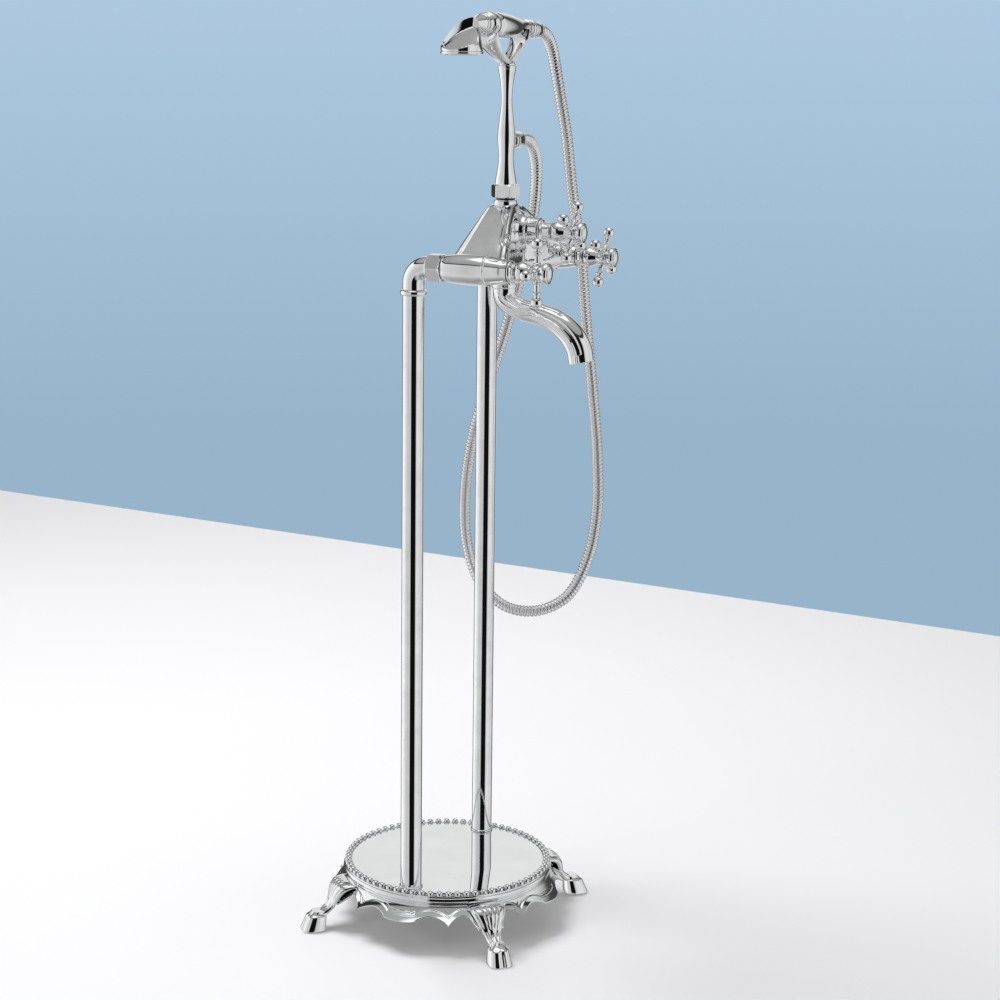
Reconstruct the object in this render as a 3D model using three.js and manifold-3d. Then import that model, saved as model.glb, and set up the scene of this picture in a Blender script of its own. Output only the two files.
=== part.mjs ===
// Floor standing bath filler with a telephone hand shower, in millimetres, +Z up.
// The work is laid out about the centre of the base: X runs from the hot riser to the cold one,
// -Y is the front, where the spout and the handles point, and Z = 0 is the floor.
// At the end the whole group is moved so that its box, without the hose, is centred on X and Y.

import * as THREE from 'three';
import { mergeVertices } from 'three/addons/utils/BufferGeometryUtils.js';
import Module from 'manifold-3d';

const wasm = await Module();
wasm.setup();

// ---------------------------------------------------------------- driving dimensions

const GAP = 0.3;                 // between pieces that touch

const PLATE_TOP = 66;            // mirror plate above the floor
const PLATE_THICK = 3;
const PLATE_R = 112.3;
const BEAD_R = 116.5;            // centre line of the beaded rim
const BEAD_HALF = 3.8;
const BEAD_Z = 64.5;
const SKIRT_TOP_R = 118;
const SKIRT_LOW_R = 136;
const HOOF_R = 166;              // centre of a hoof, from the centre of the base
const LEG_COUNT = 4;

const RISER_GAUGE = 200;         // between the riser axes
const RISER_R = 12;
const RISER_WALL = 1.1;
const RISER_TOP = 746;
const TAIL_R = 10.4;             // threaded tail inside the foot of a riser
const TAIL_BORE = 7;
const TAIL_LOW = 32;
const TAIL_HIGH = 92;

const INLET_Z = 770.5;            // inlets and side valves
const ELBOW_BEND = 17;
const ELBOW_R = 12;
const SPIGOT_R = 8.6;
const INLET_BORE = 6;
const UNION_FLATS = 28.5;
const UNION_BACK = 19.3;         // the union nut runs from here forwards
const UNION_LENGTH = 16.2;

const BODY_BACK = 36;            // back face of a side lobe, in front of the risers
const SIDE_FACE = 112;           // front face of a side lobe
const LOBE_R = 14.5;
const DIVERTER_Z = 806;
const DIVERTER_FACE = 106;
const VALVE_BORE = 9.6;
const CORE_Y = -64;              // vertical water way through the body, stem and spout root
const NECK_TOP = 839;
const SPOUT_FACE = 741;

const CROSS_BACK = 121;          // back of the cross handles
const SPOKE_Y = 143;             // plane of the spokes
const BALL_R = 6.4;
const BALL_REACH = 31;           // ball centre from the handle's axis
const REST_TURN = 31 * Math.PI / 180;

const STEM_TOP = 984;
const OUTLET_Z = 903;            // hose outlet on the stem
const SADDLE_BACK = -46;         // saddles of the cradle, along the handset from the stem
const SADDLE_FRONT = 27;

const HANDSET_Z = 1025.6;        // handset axis above the floor, over the stem
const HANDSET_YAW = -6 * Math.PI / 180;
const HANDSET_DIP = 2.6 * Math.PI / 180;
const HEAD_X = -98;              // centre of the spray face along the handset
const FACE_R = 22.5;
const FACE_DROP = 29;            // spray face below the handset axis
const HEAD_END = -60;
const GRIP_END = 44;
const UPPER_NUT_END = 70;

const HOSE_R = 7;
const HOSE_SIDES = 8;
const HOSE_STEPS = 66;

// Route of the hose's centre line, about the centre of the base, from the handset to the stem.
const HOSE_ROUTE = [
  [70.2, -70.7, 1022.1], [86, -71.2, 1020.6], [102, -70.7, 1013.5], [117, -70, 1000],
  [130, -69.5, 978], [140, -71.5, 948], [147, -77, 905], [151, -84, 840],
  [153.5, -95, 770], [154.5, -102.5, 690], [156.5, -111.5, 610], [159, -118.5, 530],
  [160, -119, 460], [158, -108, 400], [155, -84, 354], [150, -48, 334],
  [145, -10, 336], [141, 22, 362], [139, 40, 410], [138, 43, 470],
  [138, 34, 540], [138, 14, 610], [138, -9, 680], [137, -28, 750],
  [132, -41, 800], [122, -50, 842], [104, -57, 876], [80, -61, 896],
  [56, -63.4, 902.6], [36.9, -64, 903],
];

// ---------------------------------------------------------------- materials

const chrome = () => new THREE.MeshStandardMaterial({ color: 0xe2e4e6, roughness: 0.06, metalness: 1 });
const brass = () => new THREE.MeshStandardMaterial({ color: 0xb9954f, roughness: 0.35, metalness: 1 });
const rubber = () => new THREE.MeshStandardMaterial({ color: 0x1c1c1e, roughness: 0.85, metalness: 0 });
const steel = () => new THREE.MeshStandardMaterial({ color: 0xb8babd, roughness: 0.3, metalness: 1 });
const ceramic = () => new THREE.MeshStandardMaterial({ color: 0xf3f2ee, roughness: 0.2, metalness: 0 });

// ---------------------------------------------------------------- making closed solids

function bare(geometry) {
  const copy = geometry.clone();
  copy.deleteAttribute('normal');
  copy.deleteAttribute('uv');
  const merged = mergeVertices(copy, 1e-4);
  const index = merged.getIndex().array;
  const kept = [];
  for (let i = 0; i < index.length; i += 3) {
    const [a, b, c] = [index[i], index[i + 1], index[i + 2]];
    if (a !== b && b !== c && c !== a) kept.push(a, b, c);
  }
  merged.setIndex(kept);
  if (signedVolume(merged) < 0) {
    for (let i = 0; i < kept.length; i += 3) [kept[i], kept[i + 1]] = [kept[i + 1], kept[i]];
    merged.setIndex(kept);
  }
  return merged;
}

function signedVolume(geometry) {
  const p = geometry.getAttribute('position');
  const index = geometry.getIndex().array;
  const a = new THREE.Vector3();
  const b = new THREE.Vector3();
  const c = new THREE.Vector3();
  let sum = 0;
  for (let i = 0; i < index.length; i += 3) {
    a.fromBufferAttribute(p, index[i]);
    b.fromBufferAttribute(p, index[i + 1]);
    c.fromBufferAttribute(p, index[i + 2]);
    sum += a.dot(b.cross(c));
  }
  return sum / 6;
}

function solid(geometry) {
  const g = bare(geometry);
  const vertProperties = new Float32Array(g.getAttribute('position').array);
  const triVerts = new Uint32Array(g.getIndex().array);
  return new wasm.Manifold(new wasm.Mesh({ numProp: 3, vertProperties, triVerts }));
}

function shape(manifold) {
  const mesh = manifold.getMesh();
  const geometry = new THREE.BufferGeometry();
  geometry.setAttribute('position', new THREE.BufferAttribute(new Float32Array(mesh.vertProperties), 3));
  geometry.setIndex([...mesh.triVerts]);
  return geometry;
}

function join(...geometries) {
  return shape(geometries.map(solid).reduce((a, b) => a.add(b)));
}

function cut(geometry, ...tools) {
  return shape(tools.map(solid).reduce((a, b) => a.subtract(b), solid(geometry)));
}

// A profile of [radius, height] pairs turned about Z.
function turned(profile, segments = 16) {
  const points = profile.map(([r, z]) => new THREE.Vector2(r, z));
  return bare(new THREE.LatheGeometry(points, segments).rotateX(Math.PI / 2));
}

// A ring: inner and outer radius between two heights, with an optional chamfer outside.
function ring(inner, outer, low, high, chamfer = 0, segments = 16) {
  return turned([
    [inner, low], [outer - chamfer, low], [outer, low + chamfer],
    [outer, high - chamfer], [outer - chamfer, high], [inner, high], [inner, low],
  ], segments);
}

// A rod between two heights.
function rod(radius, low, high, segments = 16) {
  return turned([[0, low], [radius, low], [radius, high], [0, high]], segments);
}

// Turns a piece made along +Z so that it points along -Y, height counted from the riser plane.
function forwards(geometry, x, z) {
  return geometry.rotateX(Math.PI / 2).translate(x, 0, z);
}

// Turns a piece made along +Z so that it points along +X.
function sideways(geometry) {
  return geometry.rotateY(Math.PI / 2);
}

// A hexagon nut with bevelled corners and a bore, between two heights. A turn of 0 puts a corner on +X.
function hexagon(flats, bore, low, high, turn = 0) {
  const sides = 6;
  const clear = 0.2;              // the bevelling cone starts this far outside the corners
  const corner = flats / Math.sqrt(3);
  const outline = new THREE.Shape();
  for (let k = 0; k < sides; k += 1) {
    const angle = turn + k * 2 * Math.PI / sides;
    if (k === 0) outline.moveTo(corner * Math.cos(angle), corner * Math.sin(angle));
    else outline.lineTo(corner * Math.cos(angle), corner * Math.sin(angle));
  }
  outline.closePath();
  const prism = new THREE.ExtrudeGeometry(outline, { depth: high - low, bevelEnabled: false });
  prism.translate(0, 0, low);
  const slope = corner - flats / 2;
  const turnedCone = turned([
    [0, low], [flats / 2, low], [corner + clear, low + slope], [corner + clear, high - slope],
    [flats / 2, high], [0, high],
  ], 18);
  const hole = rod(bore, low - 1, high + 1);
  return shape(solid(prism).intersect(solid(turnedCone)).subtract(solid(hole)));
}

// A closed skin over loops of points, every loop with the same count, capped at both ends.
function loft(loops) {
  const count = loops[0].length;
  const positions = [];
  const index = [];
  loops.forEach((loop) => loop.forEach((p) => positions.push(p.x, p.y, p.z)));
  for (let i = 0; i < loops.length - 1; i += 1) {
    for (let j = 0; j < count; j += 1) {
      const a = i * count + j;
      const b = i * count + (j + 1) % count;
      index.push(a, b, a + count, b, b + count, a + count);
    }
  }
  [0, loops.length - 1].forEach((row) => {
    const middle = loops[row].reduce((sum, p) => sum.add(p), new THREE.Vector3()).divideScalar(count);
    const centre = positions.length / 3;
    positions.push(middle.x, middle.y, middle.z);
    for (let j = 0; j < count; j += 1) {
      const a = row * count + j;
      const b = row * count + (j + 1) % count;
      if (row === 0) index.push(centre, b, a);
      else index.push(centre, a, b);
    }
  });
  const geometry = new THREE.BufferGeometry();
  geometry.setAttribute('position', new THREE.Float32BufferAttribute(positions, 3));
  geometry.setIndex(index);
  return bare(geometry);
}

// A loop round a centre: u and v are the half axes, and power squares the corners.
function oval(centre, u, v, count, power = 2) {
  const loop = [];
  for (let k = 0; k < count; k += 1) {
    const angle = 2 * Math.PI * k / count;
    const c = Math.cos(angle);
    const s = Math.sin(angle);
    const cu = Math.sign(c) * Math.abs(c) ** (2 / power);
    const sv = Math.sign(s) * Math.abs(s) ** (2 / power);
    loop.push(centre.clone().addScaledVector(u, cu).addScaledVector(v, sv));
  }
  return loop;
}

// ---------------------------------------------------------------- base

// Lower edge of the skirt: a tongue in the middle of each side, an arch and a cusp on each
// side of it, then the arch that runs into the leg. The angle counts from the side's middle.
function skirtEdge(angle) {
  const step = 9 * Math.PI / 180;
  const a = Math.abs(angle);
  if (a <= step) return 36.8 + 0.9 * (a / step) ** 2;
  if (a <= 3 * step) return 36.2 + 7 * Math.sin(Math.PI * (a - step) / (2 * step)) ** 0.7;
  return 36.2 + 5 * Math.sin(Math.PI * (a - 3 * step) / (4 * step));
}

function skirt() {
  const steps = 52;
  const positions = [];
  const index = [];
  const half = Math.PI / 4;
  for (let i = 0; i < steps; i += 1) {
    const angle = 2 * Math.PI * i / steps;
    const fromSide = ((angle + half) % (2 * half)) - half;
    const low = skirtEdge(fromSide);
    const section = [
      [98, 57.5], [98, PLATE_TOP - PLATE_THICK - GAP], [112.4, PLATE_TOP - PLATE_THICK - GAP],
      [112.4, 60.4], [SKIRT_TOP_R, 60.4], [SKIRT_TOP_R + 0.8, 57], [SKIRT_TOP_R - 1, 52.5],
      [SKIRT_LOW_R - 4, low + 6], [SKIRT_LOW_R, low], [SKIRT_LOW_R - 3.5, low], [116, 50],
    ];
    section.forEach(([r, z]) => positions.push(r * Math.cos(angle), r * Math.sin(angle), z));
    for (let j = 0; j < section.length; j += 1) {
      const a = i * section.length + j;
      const b = i * section.length + (j + 1) % section.length;
      const c = ((i + 1) % steps) * section.length + j;
      const d = ((i + 1) % steps) * section.length + (j + 1) % section.length;
      index.push(a, c, b, b, c, d);
    }
  }
  const geometry = new THREE.BufferGeometry();
  geometry.setAttribute('position', new THREE.Float32BufferAttribute(positions, 3));
  geometry.setIndex(index);
  return bare(geometry);
}

// One leg along +X: a broad shell at the knee, a thin ankle and a flat soled hoof.
function leg() {
  const stations = [
    // distance out, height, half width, half thickness, lean of the section
    [118, 53.5, 21, 3.4, 0.9],
    [128, 49, 20.5, 4.6, 0.9],
    [140, 38.5, 13.5, 5.6, 1],
    [149, 27, 8, 5.2, 1],
    [155, 20.5, 7.8, 6, 0.95],
    [161.5, 16, 9.5, 8.2, 0.55],
  ];
  const loops = stations.map(([x, z, wide, thick, lean]) => oval(
    new THREE.Vector3(x, 0, z),
    new THREE.Vector3(Math.sin(lean) * thick, 0, Math.cos(lean) * thick),
    new THREE.Vector3(0, wide, 0),
    10,
    2.4,
  ));
  const hoof = [[163, 11, 10.5, 10.5], [HOOF_R, 0, 13.6, 15]];
  hoof.forEach(([x, z, wide, long]) => loops.push(oval(
    new THREE.Vector3(x, 0, z),
    new THREE.Vector3(long, 0, 0),
    new THREE.Vector3(0, wide, 0),
    10,
    2.6,
  )));
  return loft(loops);
}

function legAngle(k) {
  return Math.PI / 4 + k * 2 * Math.PI / LEG_COUNT;
}

const SCREW_R = 105;

function baseCasting() {
  const legs = [];
  const tools = [];
  for (let k = 0; k < LEG_COUNT; k += 1) {
    legs.push(leg().rotateZ(legAngle(k)));
    tools.push(rod(2.4, 40, 70, 8).translate(SCREW_R, 0, 0).rotateZ(legAngle(k)));
    tools.push(rod(5, 40, 58.5, 8).translate(SCREW_R, 0, 0).rotateZ(legAngle(k)));
  }
  [-1, 1].forEach((side) => tools.push(rod(15.2, 40, 70).translate(side * RISER_GAUGE / 2, 0, 0)));
  return cut(join(skirt(), ...legs), ...tools);
}

function basePlate() {
  const disc = rod(PLATE_R, PLATE_TOP - PLATE_THICK, PLATE_TOP, 40);
  const holes = [-1, 1].map((side) => rod(TAIL_R + 0.4, 60, 70).translate(side * RISER_GAUGE / 2, 0, 0));
  for (let k = 0; k < LEG_COUNT; k += 1) {
    holes.push(rod(2.1, 60, 64.8, 8).translate(SCREW_R, 0, 0).rotateZ(legAngle(k)));
  }
  return cut(disc, ...holes);
}

function plateScrew(k) {
  const screw = turned([
    [0, 55.8], [4, 55.8], [4, 58.2], [1.8, 58.2], [1.8, 64.5], [0, 64.5],
  ], 8);
  return screw.translate(SCREW_R, 0, 0).rotateZ(legAngle(k));
}

function beadRing() {
  const profile = [];
  const sides = 5;
  for (let k = 0; k <= sides; k += 1) {
    const angle = 2 * Math.PI * (k + 0.5) / sides;
    profile.push([BEAD_R + BEAD_HALF * Math.cos(angle), BEAD_Z + BEAD_HALF * Math.sin(angle)]);
  }
  return turned(profile, 48);
}

// ---------------------------------------------------------------- risers and inlets

const sideX = (side) => side * RISER_GAUGE / 2;

function inletTail(side) {
  return ring(TAIL_BORE, TAIL_R, TAIL_LOW, TAIL_HIGH, 0.8).translate(sideX(side), 0, 0);
}

function tailWasher(side) {
  const top = PLATE_TOP - PLATE_THICK - GAP;
  return ring(TAIL_R + GAP, 12.2, top - 1.6, top).translate(sideX(side), 0, 0);
}

function tailLocknut(side) {
  const top = PLATE_TOP - PLATE_THICK - 2 * GAP - 1.6;
  return hexagon(23.6, TAIL_R + GAP, top - 8, top, Math.PI / 6).translate(sideX(side), 0, 0);
}

function riserTube(side) {
  return ring(RISER_R - RISER_WALL, RISER_R, PLATE_TOP + GAP, RISER_TOP).translate(sideX(side), 0, 0);
}

function riserCollar(side) {
  const low = RISER_TOP - 5.6;
  return ring(RISER_R + GAP, 14.5, low, RISER_TOP, 1.2).translate(sideX(side), 0, 0);
}

function elbow(side) {
  const path = new THREE.CurvePath();
  const low = new THREE.Vector3(0, 0, RISER_TOP + GAP);
  const bendStart = new THREE.Vector3(0, 0, INLET_Z - ELBOW_BEND);
  const bendEnd = new THREE.Vector3(0, -ELBOW_BEND, INLET_Z);
  path.add(new THREE.LineCurve3(low, bendStart));
  const k = 0.5523;
  path.add(new THREE.CubicBezierCurve3(
    bendStart,
    new THREE.Vector3(0, 0, INLET_Z - ELBOW_BEND * (1 - k)),
    new THREE.Vector3(0, -ELBOW_BEND * (1 - k), INLET_Z),
    bendEnd,
  ));
  const tube = (radius) => {
    const outline = new THREE.Shape();
    outline.absarc(0, 0, radius, 0, 2 * Math.PI, false);
    const options = { extrudePath: path, steps: 7, curveSegments: 8, bevelEnabled: false };
    return new THREE.ExtrudeGeometry(outline, options);
  };
  const bend = tube(ELBOW_R);
  const tail = forwards(turned([
    [0, ELBOW_BEND - 0.5], [ELBOW_R, ELBOW_BEND - 0.5], [ELBOW_R + 0.8, 18.2], [SPIGOT_R, 19],
    [SPIGOT_R, 21.2], [0, 21.2],
  ]), 0, INLET_Z);
  const bore = tube(INLET_BORE + 1.5);
  const mouth = rod(INLET_BORE + 1.5, RISER_TOP - 4, RISER_TOP + 3);
  const way = forwards(rod(INLET_BORE, ELBOW_BEND - 2, 26), 0, INLET_Z);
  return cut(join(bend, tail), bore, mouth, way).translate(sideX(side), 0, 0);
}

function unionNut(side) {
  const nut = hexagon(UNION_FLATS, SPIGOT_R + GAP, UNION_BACK, UNION_BACK + UNION_LENGTH);
  return forwards(nut, sideX(side), INLET_Z);
}

function unionWasher(side) {
  return forwards(ring(5, SPIGOT_R, 21.5, 23.5), sideX(side), INLET_Z);
}

// ---------------------------------------------------------------- body

// A side lobe: the inlet spigot, the swelling over the valve and the face for the bonnet.
function lobe(side) {
  const profile = [
    [0, 23.8], [SPIGOT_R, 23.8], [SPIGOT_R, BODY_BACK], [13, BODY_BACK], [13.8, 38], [LOBE_R, 50],
    [LOBE_R + 0.6, 70], [LOBE_R + 0.3, 88], [13.4, 101], [11.6, 107], [11.6, SIDE_FACE], [0, SIDE_FACE],
  ];
  return forwards(turned(profile, 18), sideX(side), INLET_Z);
}

// The arm from the middle of the body down to a lobe.
function arm(side) {
  const stations = [
    // distance from the middle, height, half height, half depth
    [0, 801, 33, 19],
    [22, 797, 30, 17.5],
    [42, 788.5, 27, 16],
    [66, 779.5, 21.5, 16],
    [90, 771.5, 15, 20],
    [106, 769, 9, 17],
  ];
  return loft(stations.map(([x, z, high, deep]) => oval(
    new THREE.Vector3(side * x, CORE_Y - 1 - 0.04 * x, z),
    new THREE.Vector3(0, deep, 0),
    new THREE.Vector3(0, 0, high),
    14,
    2.3,
  )));
}

function core() {
  const column = turned([
    [0, SPOUT_FACE], [13, SPOUT_FACE], [13.6, 745], [15.5, 752], [24, 762], [27, 778], [24, 800],
    [19, 818], [15.2, 829], [14.6, 834], [14.6, NECK_TOP], [0, NECK_TOP],
  ], 18).translate(0, CORE_Y, 0);
  const barrel = forwards(turned([
    [0, 60], [18, 60], [17.5, 78], [15.6, 90], [15.4, 96], [12.6, 102], [12.6, DIVERTER_FACE],
    [0, DIVERTER_FACE],
  ], 18), 0, DIVERTER_Z);
  return join(column, barrel);
}

function mixerBody() {
  const block = join(core(), arm(-1), arm(1), lobe(-1), lobe(1));
  const tools = [];
  [-1, 1].forEach((side) => {
    tools.push(forwards(rod(INLET_BORE, 20, 70, 10), sideX(side), INLET_Z));
    tools.push(forwards(rod(VALVE_BORE, 66, 120, 14), sideX(side), INLET_Z));
  });
  tools.push(forwards(rod(VALVE_BORE, 66, 120, 14), 0, DIVERTER_Z));
  tools.push(sideways(rod(4, -RISER_GAUGE / 2, RISER_GAUGE / 2, 8)).translate(0, -72, INLET_Z));
  tools.push(rod(6.5, SPOUT_FACE - 5, NECK_TOP + 5, 10).translate(0, CORE_Y, 0));
  return cut(block, ...tools);
}

// ---------------------------------------------------------------- valves and handles

// The three valves: axis, body face and how far the handle is turned at rest.
const VALVES = [
  { name: 'hot', x: -RISER_GAUGE / 2, z: INLET_Z, face: SIDE_FACE, turn: 0 },
  { name: 'cold', x: RISER_GAUGE / 2, z: INLET_Z, face: SIDE_FACE, turn: REST_TURN },
  { name: 'diverter', x: 0, z: DIVERTER_Z, face: DIVERTER_FACE, turn: REST_TURN },
];

function cartridge(valve) {
  const back = 67;
  const front = valve.face;
  const profile = [
    [4.3, back], [VALVE_BORE - GAP, back], [VALVE_BORE - GAP, front - 1], [7.8, front - 1],
    [7.8, 117], [4.3, 117], [4.3, back],
  ];
  return forwards(turned(profile), valve.x, valve.z);
}

function bonnet(valve) {
  const front = 119.5;
  const base = valve.face + GAP;
  const wide = valve.name === 'diverter' ? 12.6 : 11.2;
  const profile = [
    [8.2, base], [wide, base], [wide + 0.4, base + 1.4], [9.8, base + 4.6], [9.4, front],
    [8.2, front], [8.2, base],
  ];
  return forwards(turned(profile), valve.x, valve.z);
}

function spindle(valve) {
  const profile = [
    [0, 68], [4, 68], [4, 118], [3.4, 118.5], [3.4, 138], [0, 138],
  ];
  return forwards(cut(turned(profile, 12), rod(1.9, 126, 139, 8)), valve.x, valve.z);
}

// A spoke along +Z: a waisted rod with a collar below its ball.
function spoke() {
  const ballLow = BALL_REACH - BALL_R;
  const profile = [[0, 4], [4, 4], [2.8, 13], [3, 20.4], [4.2, 22], [2.8, 24]];
  const arcs = 6;
  for (let k = 2; k < arcs; k += 1) {
    const angle = Math.PI * k / arcs;
    profile.push([BALL_R * Math.sin(angle), ballLow + BALL_R * (1 - Math.cos(angle))]);
  }
  profile.push([0, BALL_REACH + BALL_R]);
  return turned(profile, 8);
}

function crossHandle(valve) {
  const hub = forwards(turned([
    [0, CROSS_BACK], [8.8, CROSS_BACK], [11, 126], [9.4, 134], [7.2, 137.5], [9.4, SPOKE_Y],
    [7.4, 148], [11.4, 151.5], [11.2, 155.5], [9, 157.4], [0, 157.4],
  ]), 0, 0);
  const spokes = [0, 1, 2, 3].map((k) => spoke().rotateY(k * Math.PI / 2).translate(0, -SPOKE_Y, 0));
  const bore = forwards(rod(3.7, 115, 138.4, 10), 0, 0);
  const counterBore = forwards(rod(4.6, 141, 160, 10), 0, 0);
  const screwHole = forwards(rod(2.3, 130, 145, 8), 0, 0);
  const cross = cut(join(hub, ...spokes), bore, counterBore, screwHole);
  return cross.rotateY(valve.turn).translate(valve.x, 0, valve.z);
}

function handleScrew(valve) {
  const profile = [[0, 128], [1.6, 128], [1.6, 141.3], [3.8, 141.3], [3.8, 144.5], [0, 144.5]];
  return forwards(turned(profile, 10), valve.x, valve.z);
}

function indexCap(valve) {
  const profile = [
    [0, 147], [4.3, 147], [4.3, 157.7], [8.4, 157.7], [8, 158.7], [5.5, 159.9], [0, 160.5],
  ];
  return forwards(turned(profile), valve.x, valve.z);
}

// ---------------------------------------------------------------- spout

// Centre line of the spout in the plane X = 0.
function spoutCurve() {
  return new THREE.CatmullRomCurve3([
    new THREE.Vector3(0, CORE_Y, SPOUT_FACE - GAP - 2),
    new THREE.Vector3(0, CORE_Y - 1.5, 730),
    new THREE.Vector3(0, CORE_Y - 18, 719.5),
    new THREE.Vector3(0, CORE_Y - 42, 714),
    new THREE.Vector3(0, CORE_Y - 65, 705.5),
    new THREE.Vector3(0, CORE_Y - 81, 693),
    new THREE.Vector3(0, CORE_Y - 90, 679),
    new THREE.Vector3(0, CORE_Y - 93.5, 665),
  ], false, 'centripetal');
}

// Half width of the spout along its length, from the root to the mouth.
function spoutRadius(t) {
  const waist = 0.9 * Math.sin(Math.PI * Math.min(1, t * 2.2));
  const mouth = 2.6 * THREE.MathUtils.smoothstep(t, 0.45, 1);
  return 12.4 - waist + mouth;
}

function spoutTube(offset, from, to) {
  const curve = spoutCurve();
  const steps = 10;
  const side = new THREE.Vector3(1, 0, 0);
  const loops = [];
  for (let i = 0; i <= steps; i += 1) {
    const t = from + (to - from) * i / steps;
    const clipped = THREE.MathUtils.clamp(t, 0, 1);
    const tangent = curve.getTangentAt(clipped);
    const centre = curve.getPointAt(clipped).addScaledVector(tangent, (t - clipped) * curve.getLength());
    const radius = spoutRadius(clipped) + offset;
    const across = new THREE.Vector3().crossVectors(tangent, side).multiplyScalar(radius);
    loops.push(oval(centre, side.clone().multiplyScalar(radius), across, 14));
  }
  return loft(loops);
}

function spout() {
  const root = rod(13, SPOUT_FACE - GAP - 3.4, SPOUT_FACE - GAP).translate(0, CORE_Y, 0);
  return cut(join(spoutTube(0, 0, 1), root), spoutTube(-4, -0.06, 1.06));
}

// Flow straightener pressed in the mouth of the spout.
function aerator() {
  const curve = spoutCurve();
  const radius = spoutRadius(1) - 5.2;
  const disc = ring(2.4, radius, -5.6, -1.2, 0.4);
  const tangent = curve.getTangentAt(1);
  const turn = new THREE.Quaternion().setFromUnitVectors(new THREE.Vector3(0, 0, 1), tangent);
  const end = curve.getPointAt(1);
  return disc.applyQuaternion(turn).translate(end.x, end.y, end.z);
}

// ---------------------------------------------------------------- cradle

const stemPlace = (geometry) => geometry.translate(0, CORE_Y, 0);

function cradleWasher() {
  return stemPlace(ring(6.5, 10.4, NECK_TOP + GAP, NECK_TOP + GAP + 1.6));
}

function cradleNut() {
  return stemPlace(hexagon(28, 11.2, 841.5, 856, Math.PI / 9));
}

function cradleStem() {
  const stem = turned([
    [0, 841.6], [10.9, 841.6], [10.9, 856.3], [12.2, 856.3], [11.6, 862], [9.6, 872], [8.5, 882], [8.9, 892],
    [9.9, OUTLET_Z], [9.6, 914], [7.6, 930], [6.3, 944], [6.5, 955], [8.2, 970], [10, STEM_TOP - 4],
    [10, STEM_TOP - 1], [9, STEM_TOP], [0, STEM_TOP],
  ]);
  const boss = sideways(turned([[0, 0], [7.6, 0], [7.6, 11], [5.8, 11], [5.8, 22], [0, 22]]));
  boss.translate(0, 0, OUTLET_Z);
  const up = rod(3.6, 836, OUTLET_Z + 2, 12);
  const out = sideways(rod(3.6, 0, 30, 12)).translate(0, 0, OUTLET_Z);
  return stemPlace(cut(join(stem, boss), up, out));
}

// Handset pieces are made along +X about the handset's own axis and placed by this.
function handsetPlace(geometry) {
  geometry.rotateY(HANDSET_DIP);
  geometry.rotateZ(HANDSET_YAW);
  return geometry.translate(0, CORE_Y, HANDSET_Z);
}

// One saddle, a half ring open to the top, at a distance along the handset.
function saddle(along, inner) {
  const outer = inner + 3.4;
  const outline = new THREE.Shape();
  outline.absarc(0, 0, outer, -Math.PI * 0.97, -Math.PI * 0.03, false);
  outline.absarc(0, 0, inner, -Math.PI * 0.03, -Math.PI * 0.97, true);
  outline.closePath();
  const half = 4.5;
  const options = { depth: 2 * half, curveSegments: 5, bevelEnabled: false };
  const band = new THREE.ExtrudeGeometry(outline, options).translate(0, 0, -half);
  band.applyMatrix4(new THREE.Matrix4().makeBasis(
    new THREE.Vector3(0, 1, 0),
    new THREE.Vector3(0, 0, 1),
    new THREE.Vector3(1, 0, 0),
  ));
  return band.translate(along, 0, 0);
}

// An arm of the fork from the top of the stem to the foot of a saddle.
function forkArm(along, inner) {
  const top = -(inner + 1.8);
  const low = STEM_TOP + GAP - HANDSET_Z;
  const path = new THREE.QuadraticBezierCurve3(
    new THREE.Vector3(0, 0, low + 6),
    new THREE.Vector3(along * 0.62, 0, low + 8),
    new THREE.Vector3(along, 0, top),
  );
  const loops = [];
  const steps = 6;
  for (let i = 0; i <= steps; i += 1) {
    const t = i / steps;
    const tangent = path.getTangentAt(t);
    const across = new THREE.Vector3(-tangent.z, 0, tangent.x);
    const wide = 6.6 - 2.6 * Math.sin(Math.PI * t);
    loops.push(oval(
      path.getPointAt(t),
      across.multiplyScalar(4.4 - 1.2 * t),
      new THREE.Vector3(0, wide, 0),
      10,
    ));
  }
  return loft(loops);
}

function cradleFork() {
  const low = STEM_TOP + GAP - HANDSET_Z;
  const seat = turned([[0, low], [9.2, low], [10, low + 1.2], [9.6, low + 5], [6, low + 9], [0, low + 9]]);
  const arms = join(
    forkArm(SADDLE_BACK, 14.9),
    forkArm(SADDLE_FRONT, 10.4),
    saddle(SADDLE_BACK, 14.9),
    saddle(SADDLE_FRONT, 10.1),
  );
  const fork = join(seat, arms.rotateY(HANDSET_DIP));
  return fork.rotateZ(HANDSET_YAW).translate(0, CORE_Y, HANDSET_Z);
}

// ---------------------------------------------------------------- handset

// The head: round sections carried on a quarter turn from the spray face up and back to the neck.
function handsetHead() {
  const steps = 9;
  const loops = [];
  const across = new THREE.Vector3(0, 1, 0);
  const radii = [FACE_R, 22.6, 22.2, 21.4, 20, 18.2, 16.4, 14.8, 13.6, 13.2];
  for (let i = 0; i <= steps; i += 1) {
    const turn = Math.PI / 2 * i / steps;
    const centre = new THREE.Vector3(
      HEAD_X + (HEAD_END - HEAD_X) * (1 - Math.cos(turn)),
      0,
      -FACE_DROP * (1 - Math.sin(turn)),
    );
    const radius = radii[i];
    const inward = new THREE.Vector3(Math.cos(turn), 0, -Math.sin(turn)).multiplyScalar(radius);
    loops.push(oval(centre, inward, across.clone().multiplyScalar(radius), 20));
  }
  const chamber = rod(18.6, -FACE_DROP - 2, -FACE_DROP + 9, 20).translate(HEAD_X, 0, 0);
  const way = sideways(rod(4.5, HEAD_X, HEAD_END + 5, 12)).translate(0, 0, -4);
  const rise = rod(4.5, -FACE_DROP, -2, 12).translate(HEAD_X + 6, 0, 0);
  return handsetPlace(cut(loft(loops), chamber, way, rise));
}

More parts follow.
